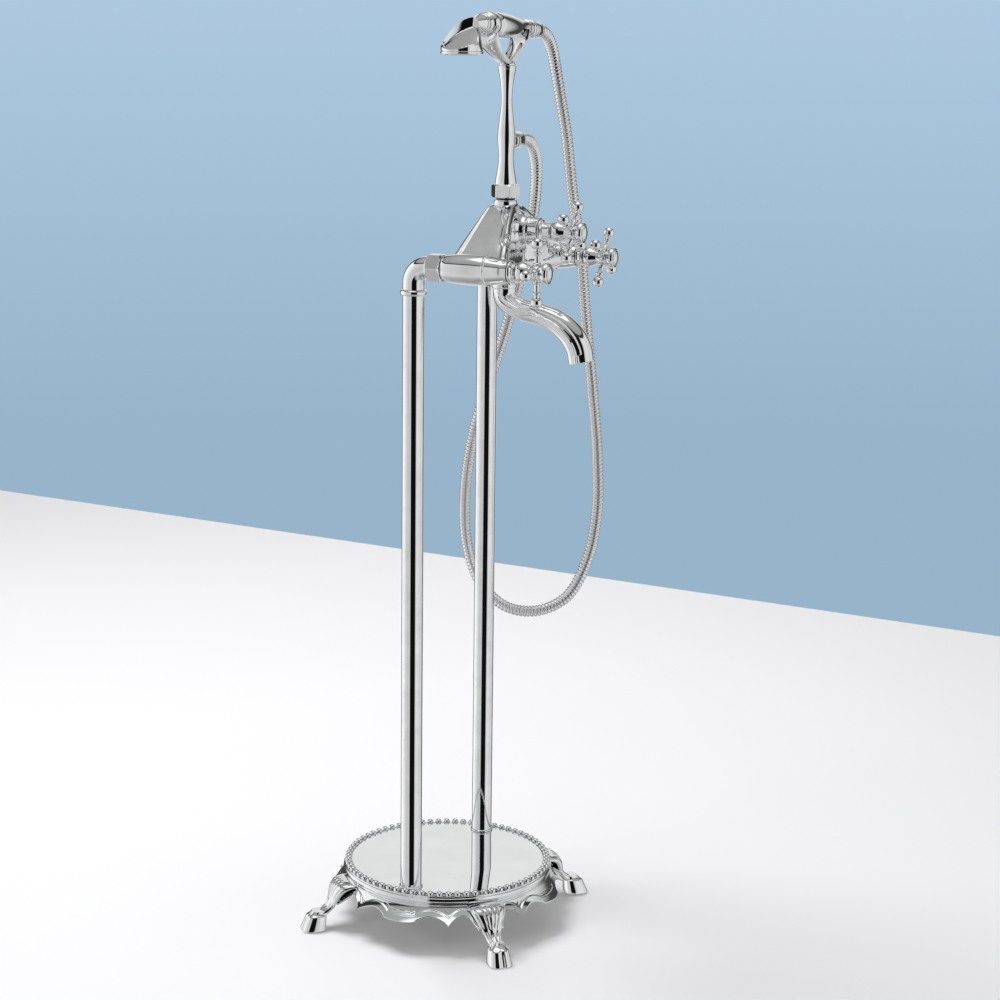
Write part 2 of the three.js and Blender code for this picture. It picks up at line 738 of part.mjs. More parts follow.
function sprayFace() {
  const disc = turned([[0, -4], [18.3, -4], [18.3, -0.4], [16.5, 0.4], [0, 1.6]], 20);
  const holes = [];
  for (let k = 0; k < 6; k += 1) {
    const angle = k * Math.PI / 3;
    holes.push(rod(1, -6, 4, 6).translate(12 * Math.cos(angle), 12 * Math.sin(angle), 0));
  }
  const face = cut(disc, ...holes).rotateX(Math.PI);
  return handsetPlace(face.translate(HEAD_X, 0, -FACE_DROP));
}

function neckRing() {
  const profile = [
    [4.5, HEAD_END + GAP], [13.2, HEAD_END + GAP], [14.2, HEAD_END + 2], [13.2, HEAD_END + 4],
    [12.2, HEAD_END + 5], [4.5, HEAD_END + 5], [4.5, HEAD_END + GAP],
  ];
  return handsetPlace(sideways(turned(profile, 18)));
}

function handsetGrip() {
  const start = HEAD_END + 5 + GAP;
  const profile = [
    [4.2, start], [12.4, start], [13.6, start + 2.6], [12.4, start + 5], [12.2, start + 6.5],
    [13.9, start + 9], [14.1, start + 13], [13, start + 17], [12.6, start + 19], [13.5, -26],
    [13.6, -14], [12.6, 2], [10.8, 14], [9.5, 22], [9.2, 30], [9.2, 36], [10, 38], [10, GRIP_END],
    [7, GRIP_END], [7, GRIP_END + 8], [4.2, GRIP_END + 8], [4.2, start],
  ];
  return handsetPlace(sideways(turned(profile, 18)));
}

// A turned trim ring on the end of the grip.
function endFerrule() {
  const start = GRIP_END + GAP;
  const profile = [
    [7.3, start], [10.2, start], [10.9, start + 1.6], [10.2, start + 3.4], [9.4, start + 4.4],
    [9.4, start + 6], [7.3, start + 6], [7.3, start],
  ];
  return handsetPlace(sideways(turned(profile)));
}

// ---------------------------------------------------------------- hose

// A tapered hose nut of the length given, made along +X from 0.
function hoseNut(length, base, bore) {
  const profile = [
    [bore, 0], [base - 0.8, 0], [base, 1], [base, 5], [base - 0.5, 5.6], [8.6, length - 3],
    [8.2, length], [4, length], [4, 13], [bore, 12], [bore, 0],
  ];
  return sideways(turned(profile));
}

function upperHoseNut() {
  const start = GRIP_END + 6 + 2 * GAP;
  return handsetPlace(hoseNut(UPPER_NUT_END - start, 10, 7.3).translate(start, 0, 0));
}

function lowerHoseNut() {
  const start = 11 + GAP;
  return hoseNut(25, 9.8, 6.1).translate(start, CORE_Y, OUTLET_Z);
}

function showerHose() {
  const route = new THREE.CatmullRomCurve3(HOSE_ROUTE.map((p) => new THREE.Vector3(...p)));
  const outline = new THREE.Shape();
  for (let k = 0; k < HOSE_SIDES; k += 1) {
    const angle = 2 * Math.PI * k / HOSE_SIDES;
    if (k === 0) outline.moveTo(HOSE_R, 0);
    else outline.lineTo(HOSE_R * Math.cos(angle), HOSE_R * Math.sin(angle));
  }
  outline.closePath();
  return new THREE.ExtrudeGeometry(outline, {
    extrudePath: route,
    steps: HOSE_STEPS,
    bevelEnabled: false,
  });
}

// ---------------------------------------------------------------- assembly

const faucet = new THREE.Group();

function add(name, geometry, material) {
  const mesh = new THREE.Mesh(bare(geometry), material);
  mesh.name = name;
  faucet.add(mesh);
  return mesh;
}

add('base_casting', baseCasting(), chrome());
add('base_plate', basePlate(), chrome());
add('bead_ring', beadRing(), chrome());
for (let k = 0; k < LEG_COUNT; k += 1) add(`plate_screw_${k + 1}`, plateScrew(k), steel());

[['hot', -1], ['cold', 1]].forEach(([name, side]) => {
  add(`${name}_inlet_tail`, inletTail(side), brass());
  add(`${name}_tail_washer`, tailWasher(side), rubber());
  add(`${name}_tail_locknut`, tailLocknut(side), brass());
  add(`${name}_riser`, riserTube(side), chrome());
  add(`${name}_riser_collar`, riserCollar(side), chrome());
  add(`${name}_elbow`, elbow(side), chrome());
  add(`${name}_union_washer`, unionWasher(side), rubber());
  add(`${name}_union_nut`, unionNut(side), chrome());
});

add('mixer_body', mixerBody(), chrome());
VALVES.forEach((valve) => {
  add(`${valve.name}_cartridge`, cartridge(valve), brass());
  add(`${valve.name}_bonnet`, bonnet(valve), chrome());
  add(`${valve.name}_spindle`, spindle(valve), brass());
  add(`${valve.name}_handle`, crossHandle(valve), chrome());
  add(`${valve.name}_handle_screw`, handleScrew(valve), steel());
  add(`${valve.name}_index_cap`, indexCap(valve), valve.name === 'diverter' ? chrome() : ceramic());
});

add('spout', spout(), chrome());
add('aerator', aerator(), steel());

add('cradle_washer', cradleWasher(), rubber());
add('cradle_nut', cradleNut(), chrome());
add('cradle_stem', cradleStem(), chrome());
add('cradle_fork', cradleFork(), chrome());

add('handset_head', handsetHead(), chrome());
add('spray_face', sprayFace(), steel());
add('neck_ring', neckRing(), chrome());
add('handset_grip', handsetGrip(), chrome());
add('end_ferrule', endFerrule(), chrome());
add('upper_hose_nut', upperHoseNut(), chrome());
add('lower_hose_nut', lowerHoseNut(), chrome());
const hose = add('shower_hose', showerHose(), chrome());

// The origin is under the middle of the object's box, measured without the hose and its nuts.
const onHose = ['shower_hose', 'upper_hose_nut', 'lower_hose_nut'];
const box = new THREE.Box3();
faucet.children.forEach((mesh) => {
  if (!onHose.includes(mesh.name)) box.expandByObject(mesh, true);
});
const middle = box.getCenter(new THREE.Vector3());
faucet.position.set(-middle.x, -middle.y, 0);

export default faucet;
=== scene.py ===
import math

import bpy
import numpy as np
from mathutils import Matrix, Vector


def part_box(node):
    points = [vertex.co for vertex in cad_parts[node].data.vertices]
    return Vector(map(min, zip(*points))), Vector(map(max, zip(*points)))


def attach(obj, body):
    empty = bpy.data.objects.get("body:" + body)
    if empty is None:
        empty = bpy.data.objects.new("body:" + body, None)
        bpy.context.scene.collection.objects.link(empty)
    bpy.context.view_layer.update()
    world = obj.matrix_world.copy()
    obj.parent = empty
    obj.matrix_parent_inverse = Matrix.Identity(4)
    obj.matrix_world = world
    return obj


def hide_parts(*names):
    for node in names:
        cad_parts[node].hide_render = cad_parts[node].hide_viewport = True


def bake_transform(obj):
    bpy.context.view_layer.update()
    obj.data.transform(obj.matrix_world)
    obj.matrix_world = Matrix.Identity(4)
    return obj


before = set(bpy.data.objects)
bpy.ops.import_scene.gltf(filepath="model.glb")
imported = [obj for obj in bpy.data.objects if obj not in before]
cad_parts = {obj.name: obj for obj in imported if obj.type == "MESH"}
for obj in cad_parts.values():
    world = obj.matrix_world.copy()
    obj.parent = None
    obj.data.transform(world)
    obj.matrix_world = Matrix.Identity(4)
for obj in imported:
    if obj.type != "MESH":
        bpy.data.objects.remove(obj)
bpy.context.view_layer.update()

# ---------------------------------------------------------------- camera
# A studio view from the hot side, from above the mixer's height and tipped down at the floor.
# Places are in millimetres about the middle of the base, and metres() takes them to the frame.

plate_low, plate_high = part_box("base_plate")
FOOT = np.array([(plate_low[0] + plate_high[0]) / 2, (plate_low[1] + plate_high[1]) / 2, 0.0])


def metres(points):
    """Points in millimetres about the middle of the base, as metres in the frame."""
    return np.asarray(points, float) * 0.001 + FOOT


EYE = (-2203.3, -997.6, 1008.8)
HEADING = -1.1688
TIP_DOWN = 0.1861
TURN = 0.0119
LENS_PER_FRAME = 2.1656
SENSOR = 36.0
SHIFT_UP = -0.05

ahead = np.array([-math.sin(HEADING) * math.cos(TIP_DOWN),
                  math.cos(HEADING) * math.cos(TIP_DOWN),
                  -math.sin(TIP_DOWN)])
level_right = np.array([math.cos(HEADING), math.sin(HEADING), 0.0])
level_up = np.cross(level_right, ahead)
right = math.cos(TURN) * level_right + math.sin(TURN) * level_up
up = math.cos(TURN) * level_up - math.sin(TURN) * level_right

lens = bpy.data.cameras.new("studio_camera")
lens.lens = LENS_PER_FRAME * SENSOR
lens.sensor_width = SENSOR
lens.shift_y = SHIFT_UP
lens.clip_start = 0.1
lens.clip_end = 60.0
camera = bpy.data.objects.new("studio_camera", lens)
sight = zip(np.stack([right, up, -ahead], 1), metres(EYE))
camera.matrix_world = Matrix([[*row, place] for row, place in sight] + [[0, 0, 0, 1]])
bpy.context.collection.objects.link(camera)
bpy.context.scene.camera = camera

# ---------------------------------------------------------------- shower hose
# The hose is a strip of polished stainless steel wound round a rubber liner. It hangs in one loop on
# the cold side, from the nut on the hand shower down and up again to the outlet on the stem.

HOSE_R = 6.9
HOSE_PITCH = 4.4
HOSE_GROOVE = 1.15
HOSE_ROUTE = [
    (70.2, -70.7, 1022.1), (86, -71.2, 1020.6), (102, -70.7, 1013.5), (117, -70, 1000),
    (130, -69.5, 978), (140, -71.5, 948), (147, -77, 905), (151, -84, 840),
    (153.5, -95, 770), (154.5, -102.5, 690), (156.5, -111.5, 610), (159, -118.5, 530),
    (160, -119, 460), (158, -108, 400), (155, -84, 354), (150, -48, 334),
    (145, -10, 336), (141, 22, 362), (139, 40, 410), (138, 43, 470),
    (138, 34, 540), (138, 14, 610), (138, -9, 680), (137, -28, 750),
    (132, -41, 800), (122, -50, 842), (104, -57, 876), (80, -61, 896),
    (56, -63.4, 902.6), (36.9, -64, 903),
]


def flowing(points, count):
    """A smooth curve through the points (centripetal Catmull-Rom spans), sampled at even distances."""
    points = np.asarray(points, float)
    padded = np.concatenate([2 * points[:1] - points[1:2], points, 2 * points[-1:] - points[-2:-1]])
    knots = np.concatenate([[0], np.cumsum(np.linalg.norm(np.diff(padded, axis=0), axis=1) ** 0.5)])
    t = np.linspace(knots[1], knots[-2], 40 * len(points))
    k = np.clip(np.searchsorted(knots, t, side="right") - 1, 1, len(padded) - 3)
    p = [padded[k + step] for step in (-1, 0, 1, 2)]
    q = [knots[k + step][:, None] for step in (-1, 0, 1, 2)]
    s = t[:, None]

    def between(a, b, qa, qb):
        return (qb - s) / (qb - qa) * a + (s - qa) / (qb - qa) * b

    a1 = between(p[0], p[1], q[0], q[1])
    a2 = between(p[1], p[2], q[1], q[2])
    a3 = between(p[2], p[3], q[2], q[3])
    curve = between(between(a1, a2, q[0], q[2]), between(a2, a3, q[1], q[3]), q[1], q[2])
    length = np.concatenate([[0], np.cumsum(np.linalg.norm(np.diff(curve, axis=0), axis=1))])
    even = np.linspace(0, length[-1], count)
    return np.stack([np.interp(even, length, curve[:, axis]) for axis in range(curve.shape[1])], 1)


def span(curve):
    """The length of a line of points."""
    return float(np.linalg.norm(np.diff(curve, axis=0), axis=1).sum())


def along(curve):
    """Unit directions along a line of points."""
    step = np.gradient(curve, axis=0)
    return step / np.linalg.norm(step, axis=1, keepdims=True)


def carried_sides(curve, first):
    """Two unit vectors across a curve at each point, turned as little as possible along it."""
    heading = along(curve)
    side = np.empty_like(curve)
    held = np.asarray(first, float)
    for row, ahead_here in enumerate(heading):
        held = held - ahead_here * (held @ ahead_here)
        held = held / np.linalg.norm(held)
        side[row] = held
    return side, np.cross(heading, side)


def add_skin(points, faces, name, body, material, sharp=35.0):
    """A piece in the frame from points in millimetres: outward faces, smooth but for its sharp edges.
    It rides the body, or nothing where body is None."""
    mesh = bpy.data.meshes.new(name)
    mesh.from_pydata(metres(points).tolist(), [], faces)
    mesh.polygons.foreach_set("use_smooth", np.ones(len(mesh.polygons), bool))
    mesh.set_sharp_from_angle(angle=math.radians(sharp))
    mesh.materials.append(material)
    piece = bpy.data.objects.new(name, mesh)
    bpy.context.collection.objects.link(piece)
    if body:
        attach(piece, body)
    return piece


def ring_faces(rings):
    """Points and faces of a closed skin over rows of rings, with a fan over each end, facing out."""
    rows, around = rings.shape[:2]
    points = np.concatenate([rings.reshape(-1, 3), rings[:1].mean(1), rings[-1:].mean(1)])
    i, j = np.meshgrid(np.arange(rows - 1), np.arange(around), indexing="ij")
    here = (i * around + j).ravel()
    beside = (i * around + (j + 1) % around).ravel()
    quads = np.stack([here, beside, beside + around, here + around], 1)
    turn = np.arange(around)
    after = (turn + 1) % around
    low = np.stack([np.full(around, rows * around), after, turn], 1)
    top = (rows - 1) * around
    high = np.stack([np.full(around, rows * around + 1), top + turn, top + after], 1)
    triangles = np.concatenate([quads[:, [0, 1, 2]], quads[:, [0, 2, 3]], low, high])
    corner = points[triangles] - points.mean(0)
    volume = np.einsum("ij,ij->i", corner[:, 0], np.cross(corner[:, 1], corner[:, 2])).sum()
    if volume < 0:
        quads, low, high = quads[:, ::-1], low[:, ::-1], high[:, ::-1]
    return points, quads.tolist() + low.tolist() + high.tolist()


def skin(rings, name, body, material, sharp=35.0):
    """One piece over rows of rings."""
    points, faces = ring_faces(np.asarray(rings))
    return add_skin(points, faces, name, body, material, sharp)


def polished_metal(name, colour, shade, haze, ripple, grain=60.0):
    """Bright plated metal: two close tones in soft clouds, uneven polish and a faint casting ripple."""
    material = bpy.data.materials.new(name)
    material.use_nodes = True
    nodes, links = material.node_tree.nodes, material.node_tree.links
    shader = nodes["Principled BSDF"]
    shader.inputs["Metallic"].default_value = 1.0
    place = nodes.new("ShaderNodeTexCoord")
    clouds = nodes.new("ShaderNodeTexNoise")
    clouds.inputs["Scale"].default_value = grain
    clouds.inputs["Detail"].default_value = 6.0
    links.new(place.outputs["Object"], clouds.inputs["Vector"])
    tone = nodes.new("ShaderNodeValToRGB")
    tone.color_ramp.elements[0].position = 0.3
    tone.color_ramp.elements[0].color = (*shade, 1)
    tone.color_ramp.elements[1].position = 0.7
    tone.color_ramp.elements[1].color = (*colour, 1)
    links.new(clouds.outputs["Fac"], tone.inputs["Fac"])
    links.new(tone.outputs["Color"], shader.inputs["Base Color"])
    polish = nodes.new("ShaderNodeMapRange")
    polish.inputs["To Min"].default_value = haze[0]
    polish.inputs["To Max"].default_value = haze[1]
    links.new(clouds.outputs["Fac"], polish.inputs["Value"])
    links.new(polish.outputs["Result"], shader.inputs["Roughness"])
    waves = nodes.new("ShaderNodeTexNoise")
    waves.inputs["Scale"].default_value = grain * 0.6
    waves.inputs["Detail"].default_value = 1.0
    links.new(place.outputs["Object"], waves.inputs["Vector"])
    bump = nodes.new("ShaderNodeBump")
    bump.inputs["Strength"].default_value = ripple
    bump.inputs["Distance"].default_value = 0.0004
    links.new(waves.outputs["Fac"], bump.inputs["Height"])
    links.new(bump.outputs["Normal"], shader.inputs["Normal"])
    return material


hose_steel = polished_metal("hose_steel", (0.88, 0.88, 0.89), (0.74, 0.74, 0.76), (0.08, 0.16), 0.05, 300.0)

rough_line = flowing(HOSE_ROUTE, 400)
HOSE_LENGTH = span(rough_line)
hose_rows = int(HOSE_LENGTH / HOSE_PITCH * 10)
hose_line = flowing(HOSE_ROUTE, hose_rows)
hose_side, hose_over = carried_sides(hose_line, (0, 0, 1))
HOSE_AROUND = 16


def wound_hose():
    """Radius over distance s and angle a: a flat band with a rounded groove wherever s / pitch less
    a / turn is a whole number."""
    angle = np.linspace(0, 2 * np.pi, HOSE_AROUND, endpoint=False)[None, :]
    distance = np.linspace(0, HOSE_LENGTH, hose_rows)[:, None]
    phase = 2 * np.pi * distance / HOSE_PITCH - angle
    radius = HOSE_R - HOSE_GROOVE * (0.5 + 0.5 * np.cos(phase)) ** 1.6
    across = radius[..., None] * (np.cos(angle)[..., None] * hose_side[:, None]
                                  + np.sin(angle)[..., None] * hose_over[:, None])
    return hose_line[:, None] + across


# The hose is one still piece that rides no body.
hose = skin(wound_hose(), "hose_winding", None, hose_steel, 80.0)
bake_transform(hose)
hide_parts("shower_hose")

# ---------------------------------------------------------------- studio
# A pale floor whose far edge runs slantwise well behind the work, a blue backdrop, a wide soft light
# overhead with a small one at the side, and a white room with a few dark cards for chrome to reflect.

def pale_floor():
    """A pale matt floor with a very faint cloudiness."""
    material = bpy.data.materials.new("studio_floor")
    material.use_nodes = True
    nodes, links = material.node_tree.nodes, material.node_tree.links
    shader = nodes["Principled BSDF"]
    shader.inputs["Roughness"].default_value = 0.6
    place = nodes.new("ShaderNodeTexCoord")
    clouds = nodes.new("ShaderNodeTexNoise")
    clouds.inputs["Scale"].default_value = 1.5
    links.new(place.outputs["Object"], clouds.inputs["Vector"])
    tone = nodes.new("ShaderNodeValToRGB")
    tone.color_ramp.elements[0].color = (0.86, 0.86, 0.875, 1)
    tone.color_ramp.elements[1].color = (0.90, 0.90, 0.915, 1)
    links.new(clouds.outputs["Fac"], tone.inputs["Fac"])
    links.new(tone.outputs["Color"], shader.inputs["Base Color"])
    return material


# The floor's far edge runs slantwise behind the work, from far on the left to nearer on the right.
FLOOR_LEFT = (-3.667, 6.234)
FLOOR_RIGHT = (2.593, 2.684)
FLOOR_DEEP = 7.0
FLOOR_GAP = 0.0004

level_ahead = np.array([-math.sin(HEADING), math.cos(HEADING), 0.0])
floor_mesh = bpy.data.meshes.new("studio_floor")
edge = [metres(EYE) * (1, 1, 0) + side * level_right + far * level_ahead
        for side, far in (FLOOR_LEFT, FLOOR_RIGHT)]
near = [corner - FLOOR_DEEP * level_ahead for corner in edge]
corners = np.array([edge[0], near[0], near[1], edge[1]]) - (0, 0, FLOOR_GAP)
floor_mesh.from_pydata(corners.tolist(), [], [[0, 1, 2, 3]])
floor_mesh.materials.append(pale_floor())
floor = bpy.data.objects.new("studio_floor", floor_mesh)
floor.visible_glossy = False
bpy.context.collection.objects.link(floor)


def soft_light(name, place, aim, size, power):
    """A round soft light at a place, pointed at another, both in metres."""
    data = bpy.data.lights.new(name, "AREA")
    data.shape = "DISK"
    data.size = size
    data.energy = power
    light = bpy.data.objects.new(name, data)
    direction = np.asarray(place, float) - np.asarray(aim, float)
    direction /= np.linalg.norm(direction)
    side = np.cross((0, 0, 1), direction) if abs(direction[2]) < 0.99 else np.array([1.0, 0, 0])
    side /= np.linalg.norm(side)
    turned_to = np.stack([side, np.cross(direction, side), direction], 1)
    light.matrix_world = Matrix([[*row, value] for row, value in zip(turned_to, place)] + [[0, 0, 0, 1]])
    light.visible_glossy = False
    bpy.context.collection.objects.link(light)


soft_light("overhead_light", (0.3, 1.2, 3.0), (0, 0, 0.3), 1.5, 62.0)
soft_light("side_light", (-2.2, 1.4, 1.6), (0, 0, 0.6), 0.9, 9.0)


def studio_room():
    """The room by direction: white with dark cards by azimuth, a bright ceiling and a pale floor below."""
    world = bpy.data.worlds.new("studio_room")
    bpy.context.scene.world = world
    world.use_nodes = True
    nodes, links = world.node_tree.nodes, world.node_tree.links
    nodes.clear()
    place = nodes.new("ShaderNodeTexCoord")

    def amount(direction):
        dot = nodes.new("ShaderNodeVectorMath")
        dot.operation = "DOT_PRODUCT"
        dot.inputs[1].default_value = direction
        links.new(place.outputs["Generated"], dot.inputs[0])
        return dot.outputs["Value"]

    def ramp(value, stops):
        band = nodes.new("ShaderNodeValToRGB")
        elements = band.color_ramp.elements
        elements[0].position, elements[1].position = stops[0][0], stops[-1][0]
        elements[0].color = (*(stops[0][1],) * 3, 1)
        elements[1].color = (*(stops[-1][1],) * 3, 1)
        for position, level in stops[1:-1]:
            new = elements.new(position)
            new.color = (*(level,) * 3, 1)
        links.new(value, band.inputs["Fac"])
        return band.outputs["Color"]

    toward = (-level_ahead[0], -level_ahead[1], 0.0)
    azimuth = nodes.new("ShaderNodeMath")
    azimuth.operation = "ARCTAN2"
    links.new(amount(tuple(level_right)), azimuth.inputs[0])
    links.new(amount(toward), azimuth.inputs[1])
    turn = nodes.new("ShaderNodeMapRange")
    turn.inputs["From Min"].default_value = -math.pi
    turn.inputs["From Max"].default_value = math.pi
    links.new(azimuth.outputs["Value"], turn.inputs["Value"])

    def at(degrees):
        return (degrees + 180) / 360

    def lift(degrees):
        return (math.sin(math.radians(degrees)) + 1) / 2

    walls = ramp(turn.outputs["Result"], [
        (at(-180), 0.83), (at(-170), 0.80), (at(-164), 0.08), (at(-146), 0.04), (at(-139), 0.50),
        (at(-126), 1.10), (at(-105), 1.08), (at(-80), 0.84), (at(-48), 0.60), (at(-30), 0.66),
        (at(-21), 0.58), (at(-17), 0.005), (at(31), 0.005), (at(35), 0.60), (at(46), 0.84),
        (at(78), 0.78), (at(93), 0.66), (at(108), 0.80), (at(125), 0.50), (at(135), 0.07),
        (at(146), 0.05), (at(153), 0.40), (at(164), 0.78), (at(180), 0.83),
    ])
    rise = nodes.new("ShaderNodeMapRange")
    rise.inputs["From Min"].default_value = -1.0
    links.new(amount((0, 0, 1)), rise.inputs["Value"])
    heights = ramp(rise.outputs["Result"], [
        (lift(-90), 1.0), (lift(-46), 1.0), (lift(-26), 0.0), (lift(33), 0.0), (lift(35), 1.0), (1.0, 1.0),
    ])
    ceiling = ramp(rise.outputs["Result"], [
        (lift(-90), 0.25), (lift(-60), 0.42), (lift(-40), 0.70), (lift(30), 0.70), (lift(34.5), 0.03),
        (lift(39.5), 0.03), (lift(41.5), 0.34), (lift(55), 0.40), (lift(64.5), 0.46), (lift(68), 1.25),
        (lift(78), 1.3), (1.0, 0.9),
    ])
    mix = nodes.new("ShaderNodeMix")
    mix.data_type = "RGBA"
    links.new(heights, mix.inputs[0])
    links.new(walls, mix.inputs[6])
    links.new(ceiling, mix.inputs[7])
    room = nodes.new("ShaderNodeBackground")
    links.new(mix.outputs[2], room.inputs["Color"])
    room.inputs["Strength"].default_value = 1.0
    backdrop = nodes.new("ShaderNodeBackground")
    sky = nodes.new("ShaderNodeValToRGB")
    sky.color_ramp.elements[0].position = lift(-10)
    sky.color_ramp.elements[0].color = (0.310, 0.455, 0.590, 1)
    sky.color_ramp.elements[1].position = lift(3)
    sky.color_ramp.elements[1].color = (0.440, 0.605, 0.765, 1)
    links.new(rise.outputs["Result"], sky.inputs["Fac"])
    links.new(sky.outputs["Color"], backdrop.inputs["Color"])
    seen = nodes.new("ShaderNodeLightPath")
    choose = nodes.new("ShaderNodeMixShader")
    links.new(seen.outputs["Is Camera Ray"], choose.inputs["Fac"])
    links.new(room.outputs["Background"], choose.inputs[1])
    links.new(backdrop.outputs["Background"], choose.inputs[2])
    end = nodes.new("ShaderNodeOutputWorld")
    links.new(choose.outputs["Shader"], end.inputs["Surface"])


studio_room()
bpy.context.scene.view_settings.view_transform = "Standard"

# ---------------------------------------------------------------- riser pipes and their collars
# Two straight brass pipes, chrome plated, carry the mixer and bring it hot and cold water. A thin
# rolled ring finishes each at the plate, and a round collar closes its joint with the elbow.

chrome = polished_metal("bright_chrome", (0.90, 0.905, 0.915), (0.80, 0.805, 0.815), (0.012, 0.05), 0.05)

PLATE_TOP = 66.0
RISER_X = 100.0
RISER_R = 12.0
RISER_TOP = 746.0
SIDES = (("hot", -1), ("cold", 1))


def softened(corners, steps=7):
    """Corner rows of radius, height and rounding, each corner drawn as a short parabola that leaves
    its two edges at the rounding distance."""
    corners = np.asarray(corners, float)
    points, reach = corners[:, :2], corners[:, 2:]
    before = np.roll(points, 1, 0) - points
    after = np.roll(points, -1, 0) - points
    before[0], after[-1] = 0, 0
    unit = [v / np.maximum(np.linalg.norm(v, axis=1, keepdims=True), 1e-9) for v in (before, after)]
    start, stop = points + unit[0] * reach, points + unit[1] * reach
    t = np.linspace(0, 1, steps)[:, None, None]
    curve = (1 - t) ** 2 * start + 2 * t * (1 - t) * points + t ** 2 * stop
    line = curve.transpose(1, 0, 2).reshape(-1, 2)
    keep = np.concatenate([[True], np.linalg.norm(np.diff(line, axis=0), axis=1) > 1e-4])
    return line[keep]


def turned(profile, around=96):
    """Rings of a profile of radius and height carried round the Z axis."""
    angle = np.linspace(0, 2 * np.pi, around, endpoint=False)
    radius = np.maximum(profile[:, :1], 0.02)
    height = np.repeat(profile[:, 1:2], around, 1)
    return np.stack([radius * np.cos(angle), radius * np.sin(angle), height], -1)


def moved(rings, x=0.0, y=0.0, z=0.0):
    """The same rings somewhere else."""
    return rings + np.array([x, y, z])


for side_name, side in SIDES:
    pipe = turned(softened([
        (0, PLATE_TOP + 0.2, 0), (13.2, PLATE_TOP + 0.2, 0.4), (13.2, PLATE_TOP + 1.9, 0.8),
        (RISER_R, PLATE_TOP + 2.3, 0.3), (RISER_R, RISER_TOP - 0.5, 0.4), (0, RISER_TOP - 0.5, 0),
    ]))
    riser = skin(moved(pipe, x=side * RISER_X), f"{side_name}_riser_pipe", "root", chrome)
    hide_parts(f"{side_name}_riser")
    band = turned(softened([
        (RISER_R - 0.4, RISER_TOP - 6.4, 0), (13.2, RISER_TOP - 6.4, 0.3), (14.8, RISER_TOP - 5.2, 1.6),
        (14.8, RISER_TOP - 1.4, 1.6), (13.2, RISER_TOP - 0.2, 0.3), (RISER_R - 0.4, RISER_TOP - 0.2, 0),
    ]))
    collar = skin(moved(band, x=side * RISER_X), f"{side_name}_collar_ring", "root", chrome)
    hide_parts(f"{side_name}_riser_collar")

# ---------------------------------------------------------------- elbows and union nuts
# Each elbow is a cast quarter bend. A hexagonal union nut, free to turn on the elbow's flare, draws
# the mixer's inlet against it.

INLET_Z = 770.5
BEND = 17.0
ELBOW_R = 12.0
NUT_BACK = 19.3
NUT_LENGTH = 16.2


def forward(rings, x, z):
    """Rings made up the Z axis, laid down to point to the front at a place across and up."""
    return np.stack([rings[..., 0] + x, -rings[..., 2], rings[..., 1] + z], -1)


def quarter_bend():
    """A round section carried up, round a quarter circle and forwards, with a flare at the nut."""
    angle = np.linspace(0, np.pi / 2, 40)
    rise = np.linspace(RISER_TOP, INLET_Z - BEND, 6)[:-1]
    run = np.array([0.4, 0.8, 1.2, 1.8, 2.6, 3.2])
    y = np.concatenate([np.zeros(5), -BEND * (1 - np.cos(angle)), -BEND - run])
    z = np.concatenate([rise, INLET_Z - BEND + BEND * np.sin(angle), np.full(6, INLET_Z)])
    lean = np.concatenate([np.zeros(5), angle, np.full(6, np.pi / 2)])
    radius = np.concatenate([np.full(45, ELBOW_R), [12.1, 12.6, 13.3, 13.6, 13.4, 12.4]])
    turn = np.linspace(0, 2 * np.pi, 96, endpoint=False)
    out = radius[:, None] * np.cos(turn)
    return np.stack([radius[:, None] * np.sin(turn),
                     y[:, None] + out * np.cos(lean)[:, None],
                     z[:, None] + out * np.sin(lean)[:, None]], -1)


def hexagon_nut(flats, low, high, bevel=0.35, corner=0.985, around=240):
    """Radius over angle and height: the least of the six flats, the rounded corners and a cone that
    bevels each end."""
    inner = flats / 2
    outer = inner / math.cos(math.pi / 6) * corner
    heights = np.concatenate([[low], low + np.linspace(0.02, 4, 18), np.linspace(low + 4.3, high - 4.3, 4),
                              high - np.linspace(4, 0.02, 18), [high]])
    angle = np.linspace(0, 2 * np.pi, around, endpoint=False)
    sector = (angle + np.pi / 6) % (np.pi / 3) - np.pi / 6
    flat = inner / np.cos(np.pi / 6 - np.abs(sector))
    end = np.minimum(heights - low, high - heights)
    cone = inner - bevel + 1.35 * end
    radius = np.minimum(np.minimum(flat, outer)[None, :], cone[:, None])
    radius[0] = radius[-1] = inner * 0.8
    return np.stack([radius * np.cos(angle), radius * np.sin(angle),
                     np.repeat(heights[:, None], around, 1)], -1)


for side_name, side in SIDES:
    elbow = skin(moved(quarter_bend(), x=side * RISER_X), f"{side_name}_elbow_bend", "root", chrome)
    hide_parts(f"{side_name}_elbow")
    union = hexagon_nut(28.8, NUT_BACK, NUT_BACK + NUT_LENGTH)
    nut = skin(forward(union, side * RISER_X, INLET_Z), f"{side_name}_union_hexagon", "root", chrome, 20.0)
    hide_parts(f"{side_name}_union_nut")

# ---------------------------------------------------------------- mirror plate and beaded rim
# A flat disc, ground and buffed to a mirror before plating, lies in the base. A cast ring of small
# pearls hides its edge.

PLATE_R = 112.6
BEAD_RING_R = 116.7
BEADS = 72
BEAD_R = 3.95
BEAD_Z = 65.9

mirror = polished_metal("mirror_chrome", (0.92, 0.925, 0.93), (0.86, 0.865, 0.875), (0.006, 0.03),
                        0.008, 25.0)

disc = turned(softened([
    (0, PLATE_TOP - 3, 0), (PLATE_R, PLATE_TOP - 3, 0.3), (PLATE_R, PLATE_TOP, 0.6), (60, PLATE_TOP, 0),
    (0, PLATE_TOP, 0),
]), 192)
plate = skin(disc, "mirror_plate_disc", "root", mirror)
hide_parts("base_plate")

